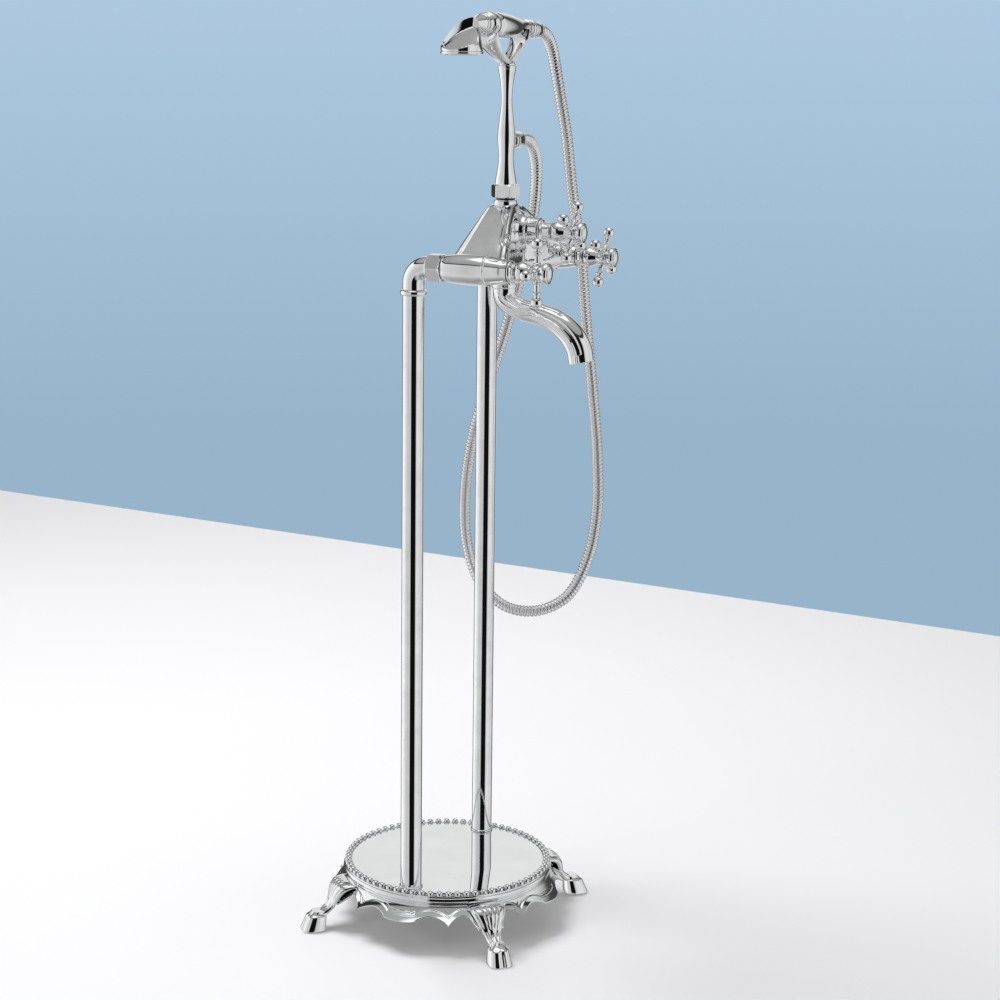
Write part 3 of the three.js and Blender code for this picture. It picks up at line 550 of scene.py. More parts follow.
rim_profile = softened([
    (PLATE_R + 0.1, 62.4, 0), (PLATE_R + 0.1, 66.4, 0.2), (PLATE_R + 0.7, 66.4, 0.2),
    (PLATE_R + 0.9, 63.2, 0.4),
    (BEAD_RING_R + 2.6, 63.2, 0.4), (BEAD_RING_R + 2.8, 64.2, 0.2), (BEAD_RING_R + 3.6, 64.2, 0.4),
    (BEAD_RING_R + 3.7, 62.4, 0.3), (BEAD_RING_R, 62.2, 0.3), (PLATE_R + 0.1, 62.4, 0),
])


def ring_loop(profile, around):
    """Rings of a closed profile carried round the Z axis: rows go round, columns follow the profile."""
    angle = np.linspace(0, 2 * np.pi, around, endpoint=False)[:, None]
    return np.stack([profile[:, 0] * np.cos(angle), profile[:, 0] * np.sin(angle),
                     np.repeat(profile[None, :, 1], around, 0)], -1)


def loop_faces(rows_points):
    """Points and faces of a skin that closes on itself both ways, facing out."""
    rows, columns = rows_points.shape[:2]
    i, j = np.meshgrid(np.arange(rows), np.arange(columns), indexing="ij")
    here = i * columns + j
    beside = i * columns + (j + 1) % columns
    over = ((i + 1) % rows) * columns + j
    across = ((i + 1) % rows) * columns + (j + 1) % columns
    quads = np.stack([here, beside, across, over], -1).reshape(-1, 4)
    points = rows_points.reshape(-1, 3)
    triangles = np.concatenate([quads[:, [0, 1, 2]], quads[:, [0, 2, 3]]])
    corner = points[triangles]
    if np.einsum("ij,ij->i", corner[:, 0], np.cross(corner[:, 1], corner[:, 2])).sum() < 0:
        quads = quads[:, ::-1]
    return points, quads.tolist()


def gathered(parts):
    """Several closed skins as one set of points and faces."""
    points, faces, start = [], [], 0
    for part_points, part_faces in parts:
        points.append(part_points)
        faces += [[corner + start for corner in face] for face in part_faces]
        start += len(part_points)
    return np.concatenate(points), faces


def pearl(angle):
    """A small ball, flattened a little from above, on the rim at an angle."""
    polar = np.linspace(0.10, np.pi - 0.10, 10)
    ball = turned(np.stack([BEAD_R * np.sin(polar), -0.95 * BEAD_R * np.cos(polar)], 1), 14)
    return ring_faces(moved(ball, BEAD_RING_R * math.cos(angle), BEAD_RING_R * math.sin(angle), BEAD_Z))


pearls = [pearl(2 * math.pi * k / BEADS) for k in range(BEADS)]
beaded = gathered([loop_faces(ring_loop(rim_profile[:-1], 216))] + pearls)
bead_rim = add_skin(*beaded, "beaded_rim", "root", chrome, 40.0)
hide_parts("bead_ring")

# ---------------------------------------------------------------- base skirt
# The base is a brass casting, polished and plated: a half round moulding, a fine groove, then a skirt
# that flares to a scalloped lip. Three fine lines are engraved above the lip.

SKIRT_TOP_Z = 51.5
SKIRT_TOP_R = 120.6
SKIRT_FLARE = 15.2
SKIRT_DROP = 15.5
LIP = 8.0


def scallop(angle):
    """Height of the lower edge over the angle: a tongue in the middle of each side, an arch and a cusp
    each way from it, then an arch that runs down into the leg."""
    m = np.abs(np.degrees((angle + np.pi / 4) % (np.pi / 2) - np.pi / 4))
    tongue = 37.8 - 1.3 * (1 - (m / 8) ** 2)
    u = np.clip((m - 8) / 17, 0, 1)
    arch = 37.8 - 1.8 * u + 6.4 * np.sin(np.pi * u) ** 0.75
    climb = 36.0 + 8.6 * np.sin(np.pi / 2 * np.clip((m - 25) / 7.5, 0, 1)) ** 0.85
    fall = 44.6 - 13.0 * np.clip((m - 32.5) / 6.5, 0, 1) ** 2
    return np.select([m <= 8, m <= 25, m <= 32.5], [tongue, arch, climb], fall)


def skirt_rows(around=720):
    """Each row is one upright section: moulding, groove, flare, lip, then back up inside."""
    angle = np.linspace(0, 2 * np.pi, around, endpoint=False)
    low = scallop(angle)[:, None]
    head = softened([
        (98, 57.5, 0), (98, 62.3, 0.4), (SKIRT_TOP_R + 0.2, 62.3, 0.8), (SKIRT_TOP_R + 1.9, 59.2, 2.6),
        (SKIRT_TOP_R, 56.0, 0.5), (SKIRT_TOP_R - 1.7, 55.3, 0.6), (SKIRT_TOP_R - 1.7, 54.3, 0.4),
        (SKIRT_TOP_R + 0.4, 53.4, 0.6), (SKIRT_TOP_R + 0.6, 52.4, 0.5), (SKIRT_TOP_R - 0.3, 51.7, 0.2),
    ])
    v = np.concatenate([np.linspace(0.02, 0.55, 20), np.linspace(0.56, 1.0, 26)])[None, :]
    z = SKIRT_TOP_Z - v * (SKIRT_TOP_Z - low)
    u = (SKIRT_TOP_Z - z) / SKIRT_DROP
    r = SKIRT_TOP_R + SKIRT_FLARE * (0.62 * u + 0.38 * u ** 2)
    edge = (1 - v) * (SKIRT_TOP_Z - low) * 1.42
    lip = 1.1 / (1 + np.exp((edge - LIP) * 5.0)) * np.clip(edge / 0.7, 0.25, 1)
    room = np.clip(((SKIRT_TOP_Z - low) * 1.42 - 15.5) / 3, 0, 1)
    lines = sum(0.45 * np.exp(-((edge - LIP - 1.9 - 1.5 * k) / 0.30) ** 2) for k in range(3)) * room
    r = r + lip - lines
    under = np.array([[0.4, -0.5], [-0.8, -0.9], [-2.6, -0.6], [-4.4, 0.8]])
    foot_r = r[:, -1:] + under[None, :, 0]
    foot_z = low + under[None, :, 1]
    w = np.linspace(0.9, 0.0, 8)[None, :]
    inside_z = (SKIRT_TOP_Z - 3.5) - w * (SKIRT_TOP_Z - low - 3.5) + 0.8
    inside_u = (SKIRT_TOP_Z - inside_z) / SKIRT_DROP
    inside_r = SKIRT_TOP_R + SKIRT_FLARE * (0.62 * inside_u + 0.38 * inside_u ** 2) - 4.2
    back = np.array([[112.0, 52.0], [104.0, 56.8]])
    ones = np.ones((around, 1))
    radius = np.concatenate([ones * head[:, 0], r, foot_r, inside_r, ones * back[:, 0]], 1)
    height = np.concatenate([ones * head[:, 1], z, foot_z, inside_z, ones * back[:, 1]], 1)
    return np.stack([radius * np.cos(angle)[:, None], radius * np.sin(angle)[:, None], height], -1)


skirt = add_skin(*loop_faces(skirt_rows()), "base_skirt", "root", chrome, 42.0)
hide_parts("base_casting")

# ---------------------------------------------------------------- legs
# Four legs are part of the same casting: a broad knee carved with five petals, a slim pastern with
# hair lines and a cloven hoof with a flat sole.

LEG_OUT = [(118.5, 55.6), (128, 55.4), (136.6, 53.2), (141.8, 47.2), (144.2, 40.0), (146.0, 33.0),
           (149.6, 26.8), (155.4, 22.4), (162.5, 19.4)]
LEG_IN = [(116, 48), (123, 47.4), (129.5, 44.2), (133.6, 38.8), (136.4, 33.2), (139.6, 27.6), (144, 22.0),
          (149, 17), (154, 13.4)]
LEG_HALF = [21.0, 21.2, 20.4, 17.8, 14.8, 11.8, 9.2, 7.7, 8.4]
PETAL_LINES = (-0.78, -0.42, -0.14, 0.14, 0.42, 0.78)


def leg_rings(rows=90, around=200):
    """Rings between an outer and an inner line down the leg, carved on the outer half."""
    outer, inner = flowing(LEG_OUT, rows), flowing(LEG_IN, rows)
    steps = np.linspace(0, 1, rows)
    half = np.interp(steps, np.linspace(0, 1, len(LEG_HALF)), LEG_HALF)
    turn = np.linspace(0, 2 * np.pi, around, endpoint=False)
    c, s = np.cos(turn), np.sin(turn)
    u = np.sign(s) * np.abs(s) ** 0.86
    v = np.sign(c) * np.abs(c) ** 0.80
    middle, thick = (outer + inner) / 2, (outer - inner) / 2
    knee = np.clip((steps - 0.17) / 0.1, 0, 1) * np.clip((0.66 - steps) / 0.12, 0, 1)
    hair = np.clip((steps - 0.62) / 0.08, 0, 1) * np.clip((1.0 - steps) / 0.1, 0, 1)
    bend = 1 - 0.12 * np.sin(np.pi * np.clip(steps / 0.66, 0, 1))[:, None]
    petals = sum(1.1 * np.exp(-((u[None, :] * bend - place) / 0.045) ** 2) for place in PETAL_LINES)
    strands = np.cos(11 * turn)
    face = np.clip(v, 0, 1) ** 0.4
    carve = (0.5 - petals) * knee[:, None] * face + 0.4 * hair[:, None] * strands
    normal = thick / np.linalg.norm(thick, axis=1, keepdims=True)
    r = middle[:, :1] + thick[:, :1] * v + carve * normal[:, :1]
    z = middle[:, 1:] + thick[:, 1:] * v + carve * normal[:, 1:]
    return np.stack([r, half[:, None] * u, z], -1)


def hoof_rings(around=120):
    """Rings up the hoof: nearly square in plan, wider at the sole, with a cleft in front."""
    height = np.array([0.0, 0.5, 1.4, 4.0, 7.0, 10.0, 13.0, 15.4, 16.8, 17.8, 18.4, 20.5, 22.0])
    centre = np.interp(height, [0, 18, 22], [165.6, 160.8, 158.6])
    long = np.interp(height, [0, 1.2, 10, 17, 18.4, 22], [13.4, 14.0, 12.4, 11.2, 9.0, 7.4])
    wide = np.interp(height, [0, 1.2, 10, 17, 18.4, 22], [12.9, 13.5, 12.2, 11.0, 9.2, 7.6])
    turn = np.linspace(0, 2 * np.pi, around, endpoint=False)
    c, s = np.cos(turn), np.sin(turn)
    u = np.sign(c) * np.abs(c) ** 0.70
    v = np.sign(s) * np.abs(s) ** 0.70
    front = np.abs((turn + np.pi) % (2 * np.pi) - np.pi)
    cleft = 1 - 0.17 * np.exp(-(front / 0.10) ** 2) * np.clip((18.4 - height) / 4, 0, 1)[:, None]
    return np.stack([centre[:, None] + long[:, None] * u * cleft, wide[:, None] * v + 0 * cleft,
                     np.repeat(height[:, None], around, 1)], -1)


def round_base(rings, angle):
    """Rings made out along the X axis, turned about the middle of the base."""
    c, s = math.cos(angle), math.sin(angle)
    return np.stack([c * rings[..., 0] - s * rings[..., 1], s * rings[..., 0] + c * rings[..., 1],
                     rings[..., 2]], -1)


for k in range(4):
    corner_angle = math.pi / 4 + k * math.pi / 2
    leg_skins = [ring_faces(round_base(leg_rings(), corner_angle)),
                 ring_faces(round_base(hoof_rings(), corner_angle))]
    leg = add_skin(*gathered(leg_skins), f"carved_leg_{k + 1}", "root", chrome, 45.0)

# ---------------------------------------------------------------- mixer body
# One brass casting, plated: a lobe at each side over the valve, two wings that rise to the neck under
# the cradle, and a round boss for the diverter in front, edged with a rolled moulding.

CORE_Y = -64.0
DIVERTER_Z = 806.0
WING = [  # distance from the middle, top, bottom, back, front
    (0, 836, 749, -46, -82), (12, 833, 749, -46.5, -82), (26, 825.5, 750, -45.5, -85),
    (40, 816.5, 751, -44, -89), (54, 807, 752, -42, -94), (68, 797, 753.5, -40, -98.5),
    (82, 787, 755.5, -38, -103), (90, 782, 757.5, -37, -105.5),
    (97, 778.5, 761, -38, -104), (103, 775, 765, -42, -98),
]
SCROLL = [(12, -68), (22, -70), (33, -75), (43, -81), (54, -84), (64, -87), (70, -93), (68, -99.5),
          (60, -101), (54, -96.5), (56, -91.5), (61, -93)]


def near_line(x, y, line):
    """Distance from each place to a smooth line through the points."""
    dense = flowing(line, 160)
    gap = (x[..., None] - dense[:, 0]) ** 2 + (y[..., None] - dense[:, 1]) ** 2
    return np.sqrt(gap.min(-1))


def wing_rings(side, rows=110, around=260):
    """Rings across the body: a box with rounded corners above and an oval below, from the equation
    |u| to the p plus |v| to the p is one, with a rolled edge and a scroll raised on its slope."""
    table = np.array(WING, float)
    x, top, low, back, front = flowing_table(table, np.linspace(0, len(WING) - 1, rows))
    turn = np.linspace(0, 2 * np.pi, around, endpoint=False)
    c, s = np.cos(turn), np.sin(turn)
    power = np.where(s > 0, 7.0, 2.3)
    reach = (np.abs(c) ** power + np.abs(s) ** power) ** (-1 / power)
    u, v = reach * c, reach * s
    y = ((back + front) / 2)[:, None] + ((back - front) / 2)[:, None] * u
    z = ((top + low) / 2)[:, None] + ((top - low) / 2)[:, None] * v
    across = np.repeat(x[:, None], around, 1)
    edge = np.exp(-((np.abs(np.abs(turn - np.pi / 2)) - 0.70) / 0.075) ** 4) * np.ones_like(z)
    scroll = np.exp(-(near_line(across, y, SCROLL) / 1.2) ** 2) * (s > 0.5)
    lift = (1.3 * edge + 1.5 * scroll) * np.clip((94 - across) / 6, 0, 1) * np.clip((across - 10) / 5, 0, 1)
    return np.stack([side * (across + 0.5 * lift), y, z + 0.86 * lift], -1)


def flowing_table(table, fine):
    """Each column of a table drawn as a smooth curve over its rows, read at fine steps."""
    dense = flowing(table, 600)
    rows = np.interp(fine, np.linspace(0, len(table) - 1, 600), np.arange(600))
    return [np.interp(rows, np.arange(600), dense[:, column]) for column in range(table.shape[1])]


lobe_profile = flowing([(13.0, 36.6), (14.2, 40), (15.4, 47), (16.2, 58), (16.5, 70), (16.2, 80),
                        (15.7, 84.6)], 40)
lobe_front = flowing([(15.5, 88.0), (14.9, 94), (13.7, 102), (12.6, 107), (12.3, 111.8)], 24)
lobe_ring = softened([(15.7, 84.7, 0.2), (16.9, 85.3, 0.6), (16.9, 87.3, 0.6), (15.5, 87.9, 0.2)])
lobe_line = np.concatenate([[(0, 35.9), (12.4, 35.9)], lobe_profile, lobe_ring, lobe_front, [(0, 112)]])

neck_line = softened([
    (10, 812, 0), (21.0, 817, 2.0), (17.0, 824.5, 5.0), (13.6, 832.0, 5.0), (12.9, 837.6, 1.2),
    (11.8, 839.2, 0.8), (0, 839.2, 0),
])
boss_line = softened([
    (0, 50, 0), (26.4, 50, 1.0), (26.6, 64.5, 1.2), (24.6, 66.6, 0.6), (24.4, 68.2, 0.8), (25.0, 70.6, 1.4),
    (24.2, 77.0, 1.0), (22.8, 81.0, 2.0), (20.4, 84.4, 1.5), (17.2, 87.5, 1.5), (15.6, 92.0, 1.5),
    (16.6, 94.2, 0.8), (15.4, 96.2, 0.8), (14.6, 106, 0.6), (0, 106, 0),
], 9)
foot_line = softened([
    (0, 741.2, 0), (13.4, 741.2, 0.6), (14.6, 743.4, 1.2), (13.8, 745.4, 0.6), (15.6, 748.0, 1.5),
    (22.0, 753.0, 4.0), (20, 760, 0),
], 9)


def petalled(profile, around=240):
    """The turned profile with ten petals: its radius dips along a line between each two, on the swell
    between the root and the waist."""
    rings = turned(profile, around)
    angle = np.linspace(0, 2 * np.pi, around, endpoint=False)
    height = profile[:, 1:2]
    swell = np.clip((height - 69.5) / 3, 0, 1) * np.clip((88 - height) / 5, 0, 1)
    dip = 1 - 0.085 * swell * np.exp(-(np.sin(5 * angle) / 0.32) ** 2)
    return np.stack([rings[..., 0] * dip, rings[..., 1] * dip, rings[..., 2]], -1)


body_skins = [ring_faces(wing_rings(side)) for side in (-1, 1)]
body_skins += [ring_faces(forward(turned(lobe_line, 120), side * RISER_X, INLET_Z)) for side in (-1, 1)]
body_skins.append(ring_faces(moved(turned(neck_line), y=CORE_Y)))
body_skins.append(ring_faces(forward(petalled(boss_line), 0, DIVERTER_Z)))
body_skins.append(ring_faces(moved(turned(foot_line), y=CORE_Y)))
body_piece = add_skin(*gathered(body_skins), "mixer_casting", "root", chrome, 42.0)
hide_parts("mixer_body")

# ---------------------------------------------------------------- bonnets
# A turned bonnet screws into each valve seat and holds its cartridge. Only its flange and its short
# waist show behind the handle.

VALVES = (("hot", -RISER_X, INLET_Z, 112.3, 0.0), ("cold", RISER_X, INLET_Z, 112.3, 31.0),
          ("diverter", 0.0, DIVERTER_Z, 106.3, 31.0))

for valve, valve_x, valve_z, face, rest in VALVES:
    wide = 12.6 if valve == "diverter" else 11.6
    bonnet_line = softened([
        (0, face, 0), (wide, face, 0.5), (wide + 1.0, face + 1.4, 0.9), (wide, face + 3.0, 0.5),
        (10.2, face + 4.4, 0.8), (9.4, 117.6, 0.8), (9.8, 119.0, 0.5), (9.0, 120.3, 0.5), (0, 120.3, 0),
    ])
    bonnet = skin(forward(turned(bonnet_line), valve_x, valve_z), f"{valve}_turned_bonnet", "root", chrome)
    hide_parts(f"{valve}_bonnet")

# ---------------------------------------------------------------- cross handles
# Each handle is a turned hub with a bell behind and a cup in front, and four turned spokes screwed
# into it, each with a collar and a ball. A domed disc closes the cup.

SPOKE_Y = 143.0
BALL_R = 6.4
BALL_OUT = 31.0

hub_line = softened([
    (0, 121.0, 0), (9.0, 121.0, 0.8), (11.2, 123.6, 1.6), (11.6, 127.6, 1.6), (9.8, 132.6, 2.0),
    (7.6, 136.6, 1.2), (8.2, 138.0, 0.6), (9.8, 140.0, 1.0), (10.1, 143.0, 1.6), (9.8, 146.2, 1.0),
    (8.0, 147.9, 0.6), (7.8, 148.7, 0.5), (10.2, 150.0, 0.8), (11.8, 152.2, 1.4), (11.9, 155.0, 1.2),
    (10.8, 157.2, 0.7), (9.2, 157.5, 0.3), (9.0, 156.4, 0.3), (0, 156.4, 0),
], 8)


def spoke_line():
    """The spoke's profile: waisted rod, collar and ball, whose radius is a half circle over its height."""
    rod = softened([(4.6, 5.0, 0), (4.6, 10.2, 0.5), (3.4, 11.4, 0.8), (2.7, 15.0, 2.0), (2.9, 19.2, 1.0),
                    (4.6, 20.6, 0.7), (4.6, 22.2, 0.7), (3.2, 23.4, 0.5), (3.0, 24.6, 0.2)], 6)
    swing = np.linspace(math.asin(3.0 / BALL_R) + 0.04, math.pi - 0.02, 26)
    ball = np.stack([BALL_R * np.sin(swing), BALL_OUT - BALL_R * np.cos(swing)], 1)
    return np.concatenate([rod[rod[:, 1] < ball[0, 1]], ball])


def spin(rings, degrees):
    """Rings turned about the handle's own axis, which points to the front."""
    angle = math.radians(degrees)
    c, s = math.cos(angle), math.sin(angle)
    x, y, z = rings[..., 0], rings[..., 1], rings[..., 2]
    return np.stack([c * x + s * z, y, c * z - s * x], -1)


cap_line = softened([(0, 150, 0), (8.8, 150, 0), (8.8, 157.2, 0.3), (8.6, 158.2, 0.5), (7.4, 158.9, 0.5),
                     (7.0, 158.7, 0.3), (6.2, 159.4, 0.5), (3.4, 160.2, 1.0), (0, 160.5, 0)])

for valve, valve_x, valve_z, face, rest in VALVES:
    parts = [ring_faces(forward(turned(hub_line), valve_x, valve_z))]
    for k in range(4):
        arm = spin(turned(spoke_line(), 40), rest + 90 * k)
        parts.append(ring_faces(moved(arm, valve_x, -SPOKE_Y, valve_z)))
    cross = add_skin(*gathered(parts), f"{valve}_cross", f"{valve}_valve", chrome, 40.0)
    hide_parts(f"{valve}_handle")
    disc_rings = forward(turned(cap_line, 72), valve_x, valve_z)
    cap = skin(disc_rings, f"{valve}_domed_disc", f"{valve}_valve", chrome)
    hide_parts(f"{valve}_index_cap")

# ---------------------------------------------------------------- spout
# The spout is cast, with a curved fall, a raised rib along each side that ends in a small tab at the
# mouth, and leaves carved round its root.

SPOUT_LINE = [(CORE_Y, 741), (CORE_Y - 1.5, 730), (CORE_Y - 18, 720), (CORE_Y - 42, 714.5),
              (CORE_Y - 65, 706), (CORE_Y - 81, 693), (CORE_Y - 89.5, 679), (CORE_Y - 92.6, 664.6)]
SPOUT_HALF = [(0, 13.0), (0.08, 12.7), (0.25, 12.6), (0.45, 12.4), (0.62, 13.8), (0.8, 14.6),
              (0.93, 14.6), (1, 14.3)]


def spout_rings(rows=170, around=240):
    """A round section carried down the spout's line. Ridges stand out where the angle meets the rib or
    one of the leaf lines, which draw together along the side."""
    line = flowing(SPOUT_LINE, rows)
    heading = along(line)
    s = np.linspace(0, 1, rows)
    half = np.interp(s, *np.array(SPOUT_HALF).T)
    for _ in range(6):
        half[1:-1] = (half[:-2] + 2 * half[1:-1] + half[2:]) / 4
    turn = np.linspace(0, 2 * np.pi, around, endpoint=False)
    side_angle = np.abs(np.abs((turn + np.pi) % (2 * np.pi) - np.pi) - np.pi / 2)
    signed = np.abs((turn + np.pi) % (2 * np.pi) - np.pi) - np.pi / 2
    grown = np.clip((s[:, None] - 0.30) / 0.15, 0, 1)
    rib = 1.7 * np.exp(-(side_angle / 0.085) ** 2) * grown
    tab = 1.5 / (1 + np.exp((side_angle - 0.20) / 0.015)) * np.clip((s[:, None] - 0.935) / 0.01, 0, 1)
    under = -2.3 * np.clip((signed - 0.07) / 0.05, 0, 1) * np.exp(-np.clip(signed, 0, 2) / 0.50) * grown
    hollow = -0.9 * np.exp(-((signed[None, :] + 0.36) / 0.13) ** 2) * np.clip((s[:, None] - 0.34) / 0.2, 0, 1)
    hollow = np.where(s[:, None] > 0.93, 0.0, hollow) + under
    leaf = sum(1.05 * np.exp(-((signed[None, :] - start * (1 - s[:, None] / 0.46)) / 0.070) ** 2)
               * np.clip((0.50 - s[:, None]) / 0.08, 0, 1) * np.clip((s[:, None] - 0.03) / 0.05, 0, 1)
               for start in (-1.15, -0.7, -0.25, 0.25, 0.75))
    radius = half[:, None] + rib + hollow + leaf + tab
    over = np.stack([-heading[:, 1], heading[:, 0]], 1)
    lift = radius * np.cos(turn)
    y = line[:, :1] - lift * over[:, :1]
    z = line[:, 1:] - lift * over[:, 1:]
    return np.stack([radius * np.sin(turn) * 0.97, y, z], -1)


def mouth(rings, wall=3.2, depth=7):
    """The last rings turned in over the wall and back up the water way."""
    last = rings[-1]
    middle = last.mean(0)
    step = rings[-2].mean(0) - middle
    step = step / np.linalg.norm(step)
    reach = np.linalg.norm(last - middle, axis=1, keepdims=True)
    inward = (middle - last) / reach
    rows = [(0.5, -0.35), (wall * 0.6, -0.4), (wall, 0.1), (wall + 0.2, depth * 0.5), (wall + 0.3, depth)]
    return np.concatenate([rings, [last + inward * x + step * y for x, y in rows]])


spout_piece = skin(mouth(spout_rings()), "cast_spout", "root", chrome, 45.0)
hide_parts("spout")

# ---------------------------------------------------------------- cradle
# A hexagonal nut holds a turned stem on the neck. The stem carries the hose outlet on the cold side
# and a cast fork on top, whose two cupped leaves hold the hand shower.

OUTLET_Z = 903.0
STEM_TOP = 984.0

cradle_hexagon = np.array(hexagon_nut(28.4, 841.0, 855.6))
NUT_TURN = math.radians(40)
cradle_hexagon = moved(round_base(cradle_hexagon, NUT_TURN), y=CORE_Y)
cradle_nut = skin(cradle_hexagon, "cradle_hexagon", "root", chrome, 20.0)
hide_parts("cradle_nut")

stem_curve = flowing([(12.1, 856.6), (11.4, 862), (9.7, 872), (8.4, 883), (8.9, 893), (9.8, 904), (9.4, 914),
                      (7.7, 929), (6.2, 944), (6.4, 955), (7.8, 969), (9.7, 979.2)], 80)
stem_end = softened([(10.0, 980.4, 0.4), (10.4, 982, 0.6), (10.0, 984.0, 0.7), (0, 984.4, 0)])
stem_line = np.concatenate([[(0, 840), (9, 840), (9, 856), (12.0, 856.0)], stem_curve, stem_end])


def sideways(rings, y, z):
    """Rings made up the Z axis, laid down to point to the cold side."""
    return np.stack([rings[..., 2], rings[..., 1] + y, z - rings[..., 0]], -1)


outlet_line = softened([(0, 2, 0), (7.4, 2, 0), (7.4, 9.4, 0.6), (9.4, 9.9, 0.4), (9.4, 11.1, 0.4),
                        (6.0, 11.2, 0), (6.0, 20, 0), (0, 20, 0)])
stem_parts = [ring_faces(moved(turned(stem_line), y=CORE_Y)),
              ring_faces(sideways(turned(outlet_line, 64), CORE_Y, OUTLET_Z))]
stem = add_skin(*gathered(stem_parts), "turned_stem", "root", chrome, 40.0)
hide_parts("cradle_stem")

HANDSET_Z = 1025.6
HANDSET_YAW = math.radians(-6)
HANDSET_DIP = math.radians(2.6)


def in_hand(rings, dip=HANDSET_DIP):
    """Rings made along the X axis about the hand shower's own axis, tipped and turned over the stem."""
    x, y, z = rings[..., 0], rings[..., 1], rings[..., 2]
    x, z = x * math.cos(dip) + z * math.sin(dip), z * math.cos(dip) - x * math.sin(dip)
    x, y = (x * math.cos(HANDSET_YAW) - y * math.sin(HANDSET_YAW),
            x * math.sin(HANDSET_YAW) + y * math.cos(HANDSET_YAW))
    return np.stack([x, y + CORE_Y, z + HANDSET_Z], -1)


def leaf_rings(reach, hold, rows=60, around=72):
    """A cupped leaf: an arc whose radius and place grow from the stem to the saddle, with a thin wall.
    reach is how far along the hand shower it leans, and hold the radius of what lies in it."""
    t = np.linspace(0, 1, rows)[:, None]
    low = STEM_TOP - HANDSET_Z + 1.5
    ease = t ** 1.25
    x = reach * (0.09 + 0.91 * np.sin(t * np.pi / 2) ** 1.1)
    bottom = low + (-(hold + 1.6) - low) * ease
    radius = 7.0 + (hold + 1.4 - 7.0) * t ** 0.9
    wall = 1.9 + 1.6 * (1 - t)
    open_angle = np.radians(60 + 26 * t)
    half = around // 2
    sweep = np.linspace(-1, 1, half)[None, :] * open_angle
    outer_r, inner_r = radius + wall / 2, radius - wall / 2
    y = np.concatenate([outer_r * np.sin(sweep), (inner_r * np.sin(sweep))[:, ::-1]], 1)
    drop = np.concatenate([outer_r * (1 - np.cos(sweep)) - wall / 2,
                           (inner_r * (1 - np.cos(sweep)) + wall / 2)[:, ::-1]], 1)
    z = bottom + drop
    return np.stack([x + 0 * z, y, z], -1)


fork_seat = softened([(0, STEM_TOP - HANDSET_Z + 0.2, 0), (9.4, STEM_TOP - HANDSET_Z + 0.2, 0.5),
                      (9.2, STEM_TOP - HANDSET_Z + 1.8, 1.0), (7.6, STEM_TOP - HANDSET_Z + 5.0, 2.0),
                      (0, STEM_TOP - HANDSET_Z + 6.4, 0)])
fork_parts = [ring_faces(in_hand(turned(fork_seat, 64), 0.0)),
              ring_faces(in_hand(leaf_rings(-48.0, 13.4))),
              ring_faces(in_hand(leaf_rings(28.0, 9.6)))]
fork = add_skin(*gathered(fork_parts), "cradle_leaves", "root", chrome, 45.0)
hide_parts("cradle_fork")

# ---------------------------------------------------------------- hand shower
# Cast and turned brass, plated: a hooded head with a flat spray face below, a ringed neck, a
# swelling grip and a turned ferrule at the hose end.

HEAD_X = -98.0
FACE_DROP = 29.0
HEAD_END = -60.0
BROW_FOOT = -25.6
RIM_R = 23.0
RIM_X = -98.1
HOOD_R = 22.7
RIM_PROFILE = [(0, -29.8, 0), (21.8, -29.8, 0.6), (RIM_R, -29.2, 0.6), (RIM_R, -27.0, 0.6),
               (22.2, -26.4, 0.3), (22.2, -25.4, 0), (0, -25.4, 0)]


def hood_slices(rows=120, front=70, behind=24):
    """Upright slices across the head, each from the front edge to the crest and down the back.
    The crest is an arch that leans back as it climbs: its height is 34.5 (1 - w squared) to the 0.6
    and its place comes forward by 25 w to the 1.3 and 5 w to the 6, w being the share of the half
    width. In front of it lies a flat sloping panel, and a smooth greatest-of joins the panel to the
    steep face of the crest."""
    share = np.sin(np.linspace(-0.497, 0.497, rows) * np.pi)[:, None]
    w = np.abs(share)
    y = HOOD_R * share
    reach = np.sqrt(HOOD_R ** 2 - y ** 2)
    start, stop = RIM_X - reach, RIM_X + reach
    crest_z = BROW_FOOT + 34.5 * (1 - w ** 2) ** 0.6
    crest_x = np.maximum(-73.5 - 25.0 * w ** 1.3 - 5.0 * w ** 6, start + 0.2)
    t = np.sin(np.linspace(0, 1, front) * np.pi / 2)[None, :]
    x = start + (crest_x - start) * t
    plane = BROW_FOOT + 0.4 + 0.55 * (x + 121) * (1 - 0.5 * w ** 4)
    inside = np.minimum((x - start) * (1 - 0.5 * w), (crest_x - x) + 2.0)
    panel = plane - 1.1 / (1 + np.exp(-(inside - 2.6) / 0.22)) + 0.35 * np.exp(-((inside - 1.9) / 0.5) ** 2)
    wall = crest_z - 6.5 * (crest_x - x) ** 0.9
    top = np.log(np.exp((panel - BROW_FOOT) * 2.2) + np.exp((wall - BROW_FOOT) * 2.2)) / 2.2 + BROW_FOOT
    top = np.minimum(top, crest_z + 0.3)
    d = np.linspace(0, 1, behind)[None, :]
    swell = 2.4 * np.sin(np.pi * d) * (1 - w ** 2)
    over_x = crest_x + (np.maximum(stop, crest_x + 0.2) - crest_x) * d ** 1.2 + swell
    over_z = crest_z + (BROW_FOOT - crest_z) * (1 - np.cos(d * np.pi / 2)) ** 0.75
    xs = np.concatenate([start, x, over_x], 1)
    zs = np.concatenate([np.full((rows, 1), BROW_FOOT), top, over_z], 1)
    return np.stack([xs, np.repeat(y, xs.shape[1], 1), np.maximum(zs, BROW_FOOT)], -1)


def lengthways(rings):
    """Rings made up the Z axis, laid along the hand shower."""
    return np.stack([rings[..., 2], rings[..., 1], -rings[..., 0]], -1)


